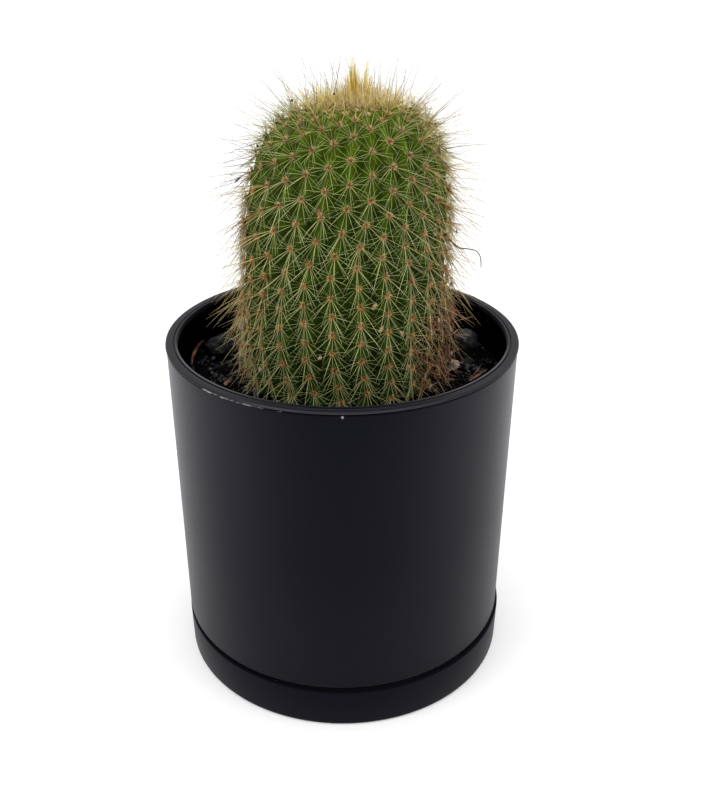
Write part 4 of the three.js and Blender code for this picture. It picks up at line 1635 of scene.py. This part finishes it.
    def bits(self) -> None:
        """Makes the black grit, the dried bits and flakes and the white bits."""
        black = EarthFinish("grit_black", (0.006, 0.005, 0.004), (0.035, 0.028, 0.02), scale=800.0,
                            roughness=0.7, relief=0.1)
        tan = EarthFinish("dried_bits_tan", (0.30, 0.15, 0.08), (0.60, 0.42, 0.28), scale=700.0,
                          roughness=0.85, relief=0.15, specular=0.2)
        red = replace(tan, name="dried_flakes_red", dark=(0.14, 0.035, 0.02),
                      light=(0.42, 0.16, 0.10))
        white = replace(tan, name="bits_white", dark=(0.30, 0.23, 0.17), light=(0.66, 0.56, 0.46),
                        roughness=0.9)
        grain = (1, 0.8, 0.7)
        sliver = (1, 0.22, 0.18)
        flake = (1, 0.48, 0.36)
        chunk = (1, 0.7, 0.55)
        self.specks("crown_grit", self.grit, grain, black, Slot.SOIL)
        self.specks("black_slivers", self.slivers, sliver, black, Slot.SOIL)
        self.specks("dried_bits", self.tan_bits, flake, tan, Slot.BARK)
        self.specks("dried_flakes", self.red_flakes, flake, red, Slot.BARK)
        self.specks("white_bits", self.white_bits, chunk, white, Slot.PERLITE)

    def strew(self, planting: Planting, patch: tuple[Span, Span, int], lengths: Span, radii: Span,
              warmth: float = 0.0, wildness: float = 0.0) -> None:
        """Plants limp strands over a patch of the stem, most of them hanging down.

        Args:
            planting: What takes the strands.
            patch: Its azimuths in degrees, its arcs and its count of strands.
            lengths: The shortest and the longest strand.
            radii: The thinnest and the thickest strand's radius.
            warmth: How golden they are, from 0 to 1.
            wildness: How much their directions differ, from 0 to 1.
        """
        rng = self.rng
        azimuths, arcs, count = patch
        floor = self.stem.soil_top + self.clearance
        for _ in range(count):
            spot = self.stem.spot(math.radians(rng.uniform(*azimuths)), rng.uniform(*arcs))
            fade = 1 - smoothstep(spot.arc, 8, 32)
            wild = wildness * lerp(0.4, 1.0, fade)
            skirt = 4.0 * wildness * fade
            root = spot.place + spot.normal * rng.uniform(-0.4, 1.8 + skirt)
            aim = spot.normal * rng.uniform(0.02, 0.42)
            aim -= spot.up * rng.uniform(0.2 - 0.8 * wild, 1.1)
            aim += spot.across * rng.gauss(0, 0.45 + 0.4 * wild)
            length = rng.uniform(*lengths)
            aim = aim.normalized()
            if root.z + aim.z * length < floor:
                aim.z = max(-0.3, (floor - root.z) / length)
                aim += spot.normal * 0.3
            bend_to = Vector((rng.gauss(0, 1), rng.gauss(0, 1), rng.uniform(-1, 0.4)))
            radius = rng.uniform(*radii)
            planting.plant(root, aim, bend_to, length, radius, warmth * rng.uniform(0, 1.4))

    def specks(self, name: str, specks: Sequence[Speck], shape: Point, finish: EarthFinish,
               slot: Slot) -> None:
        """Makes one piece of several small bits.

        Args:
            name: The piece's name.
            specks: The bits.
            shape: Their length, width and thickness as shares of their size.
            finish: Their finish.
            slot: The record's material slot.
        """
        bm = bmesh.new()
        dents = ((1.5, 0.6), (4.0, 0.35))
        for i, speck in enumerate(specks):
            spot = self.stem.spot(math.radians(speck.azimuth), speck.arc)
            bit = template_from(lump_mesh(shape, 3, dents, i + 40), "speck_template")
            turn = spot.turn @ Matrix.Rotation(self.rng.uniform(*self.bit_turn), 4, "Z")
            if speck.tilt is not None:
                turn = Matrix.Rotation(-math.radians(speck.tilt), 4, "Y")
            place = Matrix.Translation(spot.place + spot.normal * speck.off)
            size = Matrix.Diagonal((speck.size, speck.size, speck.size, 1))
            scatter(bm, bit, place @ turn @ size)
        new_piece(name, bm, finish.make(self.effects), slot)

    def thread(self) -> None:
        """Makes the thin dry thread that curls out of the stem's right side."""
        bm = bmesh.new()
        root, tip = self.thread_radii
        bmesh.ops.create_cone(bm, cap_ends=True, segments=6, radius1=root, radius2=tip, depth=1)
        slice_up(bm, self.thread_steps, -0.5)
        route = [Vector((x, y, self.stem.soil_top + z)) for x, y, z in self.thread_route]
        for vert in bm.verts:
            centre, forward = along_route(route, vert.co.z + 0.5)
            side = side_of(forward)
            vert.co = centre + side * vert.co.x + forward.cross(side) * vert.co.y
        bmesh.ops.recalc_face_normals(bm, faces=bm.faces)
        brown = EarthFinish("thread_brown", (0.04, 0.026, 0.018), (0.11, 0.08, 0.055), scale=900.0,
                            roughness=0.8, relief=0.05, specular=0.2)
        new_piece("dry_thread", bm, brown.make(self.effects), Slot.BARK)


# The soil and what lies on it


@dataclass(frozen=True)
class Stone:
    """An uneven lump on the soil: its height is above the soil's top, its turn in degrees."""

    name: str
    half_sizes: Point
    place: Point
    turn: float
    seed: float
    node: str | None = None
    detail: int = 5
    rough: bool = True


@dataclass(frozen=True)
class Splinter:
    """A strip of bark along a route over the soil's top."""

    route: tuple[Point, ...]
    width: float
    thickness: float
    seed: float


@dataclass
class Bed:
    """The gritty soil, its crumbs, and the stones, bark and perlite that lie on it."""

    effects: Effects
    rng: random.Random
    soil_top: float
    edge_radius: float = 62.0
    base_radius: float = 56.4
    base_height: float = 14.3
    hole_radius: float = 35.0
    hole_depth: float = 8.0
    ring_step: float = 0.42
    crumb_count: int = 1700
    crumb_radii: Span = (36.5, 61.0)
    rough_dents: tuple[Span, ...] = ((1.1, 0.22), (2.6, 0.14), (6.0, 0.09), (14.0, 0.04))
    smooth_dents: tuple[Span, ...] = ((1.1, 0.25), (2.4, 0.1))
    dark_stones: tuple[Stone, ...] = (
        Stone("stone_left_dark", (6.8, 5.7, 4.7), (-49.5, 17.5, 2.0), 12, 1.0, "stone_left"),
        Stone("stone_right_dark", (5.0, 4.7, 4.5), (50.3, 21.5, 3), -20, 2.0, "stone_right",
              rough=False),
        Stone("pebble_right_dark", (2.7, 2.3, 2.1), (49.6, 4, 1.2), 35, 3.0, "pebble_right", 4),
    )
    perlite: tuple[Stone, ...] = (
        Stone("perlite_right_white", (2.1, 2.0, 2.4), (43.6, 0, 1.8), 10, 4.0, "perlite_right", 4),
        Stone("perlite_right_crumb", (1.5, 1.3, 1.5), (41.9, -1.8, 0.9), 30, 6.0, detail=4),
    )
    left_strip: Splinter = Splinter(
        ((-59.2, -1, 1.9), (-59.4, 5, 3.4), (-58.4, 11, 4.6), (-56.8, 15.5, 5)), 1.15, 0.8, 5.0)
    right_chip: Splinter = Splinter(
        ((48.6, -13.6, 2.0), (52.2, -9.6, 2.5), (56, -5, 2.7)), 0.8, 0.7, 6.0)
    red_chip: Splinter = Splinter(
        ((48.0, -12.2, 1.4), (49.9, -9.6, 1.7), (52.4, -7, 1.8)), 1.5, 0.7, 8.0)
    fine_chip: Splinter = Splinter(
        ((50.2, -9.4, 2.4), (52.2, -6.8, 3.2), (53.6, -3.0, 3.3)), 0.5, 0.5, 11.0)
    tan_chip: Splinter = Splinter(
        ((-44.2, -17.6, 1.4), (-43.2, -16.2, 2.2), (-42.4, -14.6, 2.2)), 2.1, 0.8, 9.0)
    rubble_spots: tuple[tuple[float, float, int], ...] = (
        (-46, -13, 10), (-49, -3, 4), (53, 0.5, 14), (50, -1, 12), (-52, 7, 3),
    )
    rubble_spread: Span = (2.2, 2.6)

    def surface_height(self, x: float, y: float) -> float:
        """Returns the soil's height at a place, with its lumps and its fine crumble."""
        place = Vector((x, y, 0))
        broad = math.sin(x * 0.31 + y * 0.17) + math.sin(y * 0.37 - x * 0.13 + 1.3)
        broad += math.sin((x + y) * 0.53)
        crumble = 0.85 * noise.noise(place * 0.32) + 0.7 * abs(noise.noise(place * 0.8))
        return self.soil_top + 0.7 * broad + (crumble + 0.4 * noise.noise(place * 1.7))

    def soil(self) -> BMesh:
        """Returns the soil's body, with a fine grid on top."""
        rings = round((self.edge_radius - self.hole_radius) / self.ring_step)
        radii = [lerp(self.edge_radius, self.hole_radius, i / rings) for i in range(rings + 1)]
        bottom = self.soil_top - self.hole_depth
        corners = [Corner(0, self.base_height), Corner(self.base_radius, self.base_height)]
        corners += [Corner(radius, self.soil_top) for radius in radii]
        corners += [Corner(self.hole_radius, bottom), Corner(0, bottom)]
        bm = turned(corners, steps=300)
        for vert in bm.verts:
            if vert.co.z > self.soil_top - 1:
                vert.co.z = self.surface_height(vert.co.x, vert.co.y)
        return bm

    def crumb_shapes(self) -> list[bpy.types.Mesh]:
        """Returns a few broken, angular lumps of size 1."""
        dents = ((1.3, 0.55), (3.1, 0.4))
        lumps = [lump_mesh((1, 1, 1), 2, dents, 10 + i) for i in range(6)]
        return [template_from(lump, "crumb_template") for lump in lumps]

    def lay_crumb(self, bm: BMesh, shapes: Sequence[bpy.types.Mesh], place: Vector,
                  size: float) -> None:
        """Lays one crumb on the soil.

        Args:
            bm: What takes the crumb.
            shapes: The lumps to choose from.
            place: Where it lies, whose height is set here.
            size: Its half size.
        """
        rng = self.rng
        stretch = [size * rng.uniform(*span) for span in ((0.7, 1.2), (0.7, 1.2), (0.5, 0.9))]
        place.z = self.surface_height(place.x, place.y) + 0.25 * size
        turn = Matrix.Rotation(rng.uniform(0, TURN), 4, "Z")
        tip = Matrix.Rotation(rng.uniform(-0.5, 0.5), 4, "X")
        place = Matrix.Translation(place) @ (turn @ tip) @ Matrix.Diagonal((*stretch, 1))
        scatter(bm, rng.choice(shapes), place)

    def crumbs(self) -> BMesh:
        """Returns the loose crumbs and grit scattered over the soil."""
        rng = self.rng
        bm = bmesh.new()
        shapes = self.crumb_shapes()
        for _ in range(self.crumb_count):
            radius = math.sqrt(rng.uniform(*(radius**2 for radius in self.crumb_radii)))
            place = outward(rng.uniform(0, TURN)) * radius
            self.lay_crumb(bm, shapes, place, 0.3 + 1.0 * rng.random() ** 3)
        return bm

    def rubble(self) -> BMesh:
        """Returns the larger bits of grey rubble, lying in loose heaps."""
        rng = self.rng
        bm = bmesh.new()
        shapes = self.crumb_shapes()
        for x, y, count in self.rubble_spots:
            for _ in range(count):
                off_x, off_y = (rng.gauss(0, spread) for spread in self.rubble_spread)
                place = Vector((x + off_x, y + off_y, 0))
                if place.length < self.edge_radius - 2.5:
                    self.lay_crumb(bm, shapes, place, 0.5 + 1.0 * rng.random() ** 2)
        return bm

    def stone(self, stone: Stone, material: Material, slot: Slot) -> None:
        """Makes one stone or lump on the soil, in the place of its solid if it has one.

        Args:
            stone: Its name, sizes and place.
            material: Its finish.
            slot: The record's material slot.
        """
        dents = self.rough_dents if stone.rough else self.smooth_dents
        bm = lump_mesh(stone.half_sizes, stone.detail, dents, stone.seed)
        turn = Matrix.Rotation(math.radians(stone.turn), 3, "Z")
        bmesh.ops.rotate(bm, cent=(0, 0, 0), matrix=turn, verts=bm.verts)
        bmesh.ops.translate(bm, vec=Vector(stone.place) + UP * self.soil_top, verts=bm.verts)
        piece = new_piece(stone.name, bm, material, slot)
        if stone.node:
            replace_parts(piece, stone.node)

    def bark(self, name: str, splinter: Splinter, material: Material,
             node: str | None = None) -> None:
        """Makes a splinter of bark, frayed and split at its ends.

        Args:
            name: The piece's name.
            splinter: Its route and its sizes.
            material: Its finish.
            node: The solid that it stands for, if there is one.
        """
        route = [Vector((x, y, self.soil_top + z)) for x, y, z in splinter.route]
        bm = bmesh.new()
        bmesh.ops.create_cube(bm, size=1)
        for axis, cuts in ((2, 28), (0, 7)):
            edges = [e for e in bm.edges if abs((e.verts[0].co - e.verts[1].co)[axis]) > 0.5]
            bmesh.ops.subdivide_edges(bm, edges=edges, cuts=cuts, use_grid_fill=True)
        for vert in bm.verts:
            x, y, z = vert.co
            share = z + 0.5
            centre, forward = along_route(route, share)
            side = forward.cross(UP).normalized()
            top = side.cross(forward).normalized()
            off_middle = abs(2 * share - 1)
            fibre = noise.noise(Vector((x * 9 + splinter.seed, share * 4, splinter.seed)))
            width = x * splinter.width * (1 - 0.6 * off_middle**2.5) * (1 + 0.4 * fibre)
            rise = y * splinter.thickness * (0.8 + 0.6 * fibre) - 0.9 * x**2
            end = math.copysign(max(0.0, off_middle - 0.8) * 3.0, share - 0.5)
            fray = end * fibre * splinter.width
            vert.co = centre + side * width + top * rise + forward * fray
        bmesh.ops.recalc_face_normals(bm, faces=bm.faces)
        piece = new_piece(name, bm, material, Slot.BARK)
        if node:
            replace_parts(piece, node)

    def build(self) -> None:
        """Makes the soil and everything on it."""
        soil, grit, loose, rock, smooth, white, brown, light, red = (
            finish.make(self.effects) for finish in (
                # The soil and its crumbs: near-black, partly the mix's own colour and partly
                # painted shade inside the pot.
                EarthFinish("potting_mix_dark", (0.0002, 0.0002, 0.0007), (0.0011, 0.0011, 0.0020),
                            500.0, 0.7, 0.3, 0.035, specks=0.03),
                EarthFinish("grit_dark", (0.0004, 0.0004, 0.0010), (0.0050, 0.0052, 0.0075),
                            260.0, 0.5, 0.12, 0.14),
                EarthFinish("rubble_grey", (0.0016, 0.0016, 0.0028), (0.015, 0.015, 0.020),
                            300.0, 0.45, 0.2, 0.5),
                EarthFinish("stone_dark_grey", (0.006, 0.006, 0.007), (0.030, 0.029, 0.031),
                            420.0, 0.75, 0.6, 0.15),
                EarthFinish("stone_smooth_grey", (0.016, 0.017, 0.020), (0.034, 0.036, 0.042),
                            110.0, 0.5, 0.1, 0.3),
                EarthFinish("perlite_white", (0.26, 0.18, 0.13), (0.66, 0.55, 0.45),
                            420.0, 0.9, 0.3, 0.2),
                EarthFinish("bark_brown", (0.035, 0.011, 0.006), (0.20, 0.085, 0.04),
                            250.0, 0.8, 0.2, 0.2),
                EarthFinish("bark_light_brown", (0.09, 0.04, 0.024), (0.30, 0.17, 0.105),
                            420.0, 0.8, 0.2, 0.2),
                EarthFinish("bark_red_brown", (0.03, 0.009, 0.006), (0.13, 0.05, 0.03),
                            420.0, 0.8, 0.2, 0.2),
            ))
        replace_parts(new_piece("soil_body", self.soil(), soil, Slot.SOIL), "soil")
        new_piece("soil_crumbs", self.crumbs(), grit, Slot.SOIL)
        new_piece("soil_rubble", self.rubble(), loose, Slot.SOIL)
        for stone in self.dark_stones:
            self.stone(stone, rock if stone.rough else smooth, Slot.STONE)
        for stone in self.perlite:
            self.stone(stone, white, Slot.PERLITE)
        self.bark("bark_strip_left_brown", self.left_strip, brown, "bark_strip_left")
        self.bark("bark_chip_right_brown", self.right_chip, light, "bark_chip_right")
        self.bark("bark_chip_right_red", self.red_chip, red)
        self.bark("bark_chip_right_fine", self.fine_chip, light)
        self.bark("bark_chip_left_tan", self.tan_chip, light)


# The studio


@dataclass(frozen=True)
class Studio:
    """The floor, the soft lights and the camera at the photograph's viewing angle."""

    camera_place: Point = (8.39, -350.37, 285.54)
    camera_pitch: float = 26.866
    camera_roll: float = 0.424
    focal_pixels: float = 982.65
    picture_height: int = 800
    sensor: float = 36.0
    horizon_light: float = 0.35
    overhead_light: float = 1.55
    floor_glow: float = 0.08
    lamp_size: float = 420.0
    lamp_target: Point = (0, 0, 130)

    def build(self) -> None:
        """Sets the stage."""
        self.floor()
        self.world()
        self.light("key_left", (-520, -360, 620), 1.6)
        self.light("fill_right", (560, -260, 520), 1.0)
        self.camera()
        view = bpy.context.scene.view_settings
        view.view_transform = "Standard"
        view.look = "None"

    def floor(self) -> None:
        """Lays a wide pale floor, which gives the camera alone a little white."""
        bm = bmesh.new()
        bmesh.ops.create_grid(bm, x_segments=1, y_segments=1, size=6)
        mesh = template_from(bm, "studio_floor")
        shader = Shader("studio_white")
        seen = shader.node("ShaderNodeLightPath").outputs["Is Camera Ray"]
        shader.set(
            Base_Color=(0.96, 0.96, 0.96),
            Roughness=0.9,
            Specular_IOR_Level=0.1,
            Emission_Color=(1.0, 1.0, 1.0),
            Emission_Strength=shader.times(seen, self.floor_glow),
        )
        mesh.materials.append(shader.material)
        floor = bpy.data.objects.new("studio_floor", mesh)
        bpy.context.scene.collection.objects.link(floor)

    def world(self) -> None:
        """Surrounds everything with soft white light that grows from the horizon to overhead."""
        world = bpy.data.worlds.new("studio_world")
        world.use_nodes = True
        nodes = Nodes(world.node_tree)
        height = nodes.axes(nodes.node("ShaderNodeTexCoord").outputs["Generated"])["Z"]
        strength = nodes.spread(height, 0.0, 1.0, self.horizon_light, self.overhead_light)
        background = world.node_tree.nodes["Background"].inputs
        nodes.feed(background["Color"], (1, 1, 1))
        nodes.feed(background["Strength"], strength)
        bpy.context.scene.world = world

    def light(self, name: str, place: Point, power: float) -> None:
        """Hangs one square soft light that faces the plant.

        Args:
            name: The lamp's name.
            place: Where it hangs.
            power: Its power in watts.
        """
        data = bpy.data.lights.new(name, "AREA")
        data.shape = "SQUARE"
        data.size = self.lamp_size * MM
        data.energy = power
        lamp = bpy.data.objects.new(name, data)
        lamp.location = Vector(place) * MM
        aim = Vector(self.lamp_target) - Vector(place)
        lamp.rotation_euler = aim.to_track_quat("-Z", "Y").to_euler()
        bpy.context.scene.collection.objects.link(lamp)

    def camera(self) -> None:
        """Sets the camera where the photograph was taken from."""
        data = bpy.data.cameras.new("photo_camera")
        data.sensor_width = self.sensor
        data.lens = self.focal_pixels / self.picture_height * self.sensor
        data.clip_start = 0.01
        camera = bpy.data.objects.new("photo_camera", data)
        tilt = Matrix.Rotation(math.radians(90 - self.camera_pitch), 4, "X")
        roll = Matrix.Rotation(math.radians(self.camera_roll), 4, "Z")
        camera.matrix_world = Matrix.Translation(Vector(self.camera_place) * MM) @ tilt @ roll
        bpy.context.scene.collection.objects.link(camera)
        bpy.context.scene.camera = camera


def main() -> None:
    """Builds the plant, its pots and its studio in order."""
    logging.basicConfig(level=logging.INFO, format="%(name)s: %(message)s")
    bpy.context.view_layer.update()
    rng = random.Random(SEED)
    Studio().build()
    effects = Effects()
    pots = Pots(effects)
    pots.build()
    soil_top = pots.height - pots.soil_below_rim
    Bed(effects, rng, soil_top).build()
    stem = Stem(effects, soil_top)
    stem.build()
    Spines(stem, effects, rng).build()
    Litter(stem, effects, rng).build()


if __name__ == "__main__":
    main()
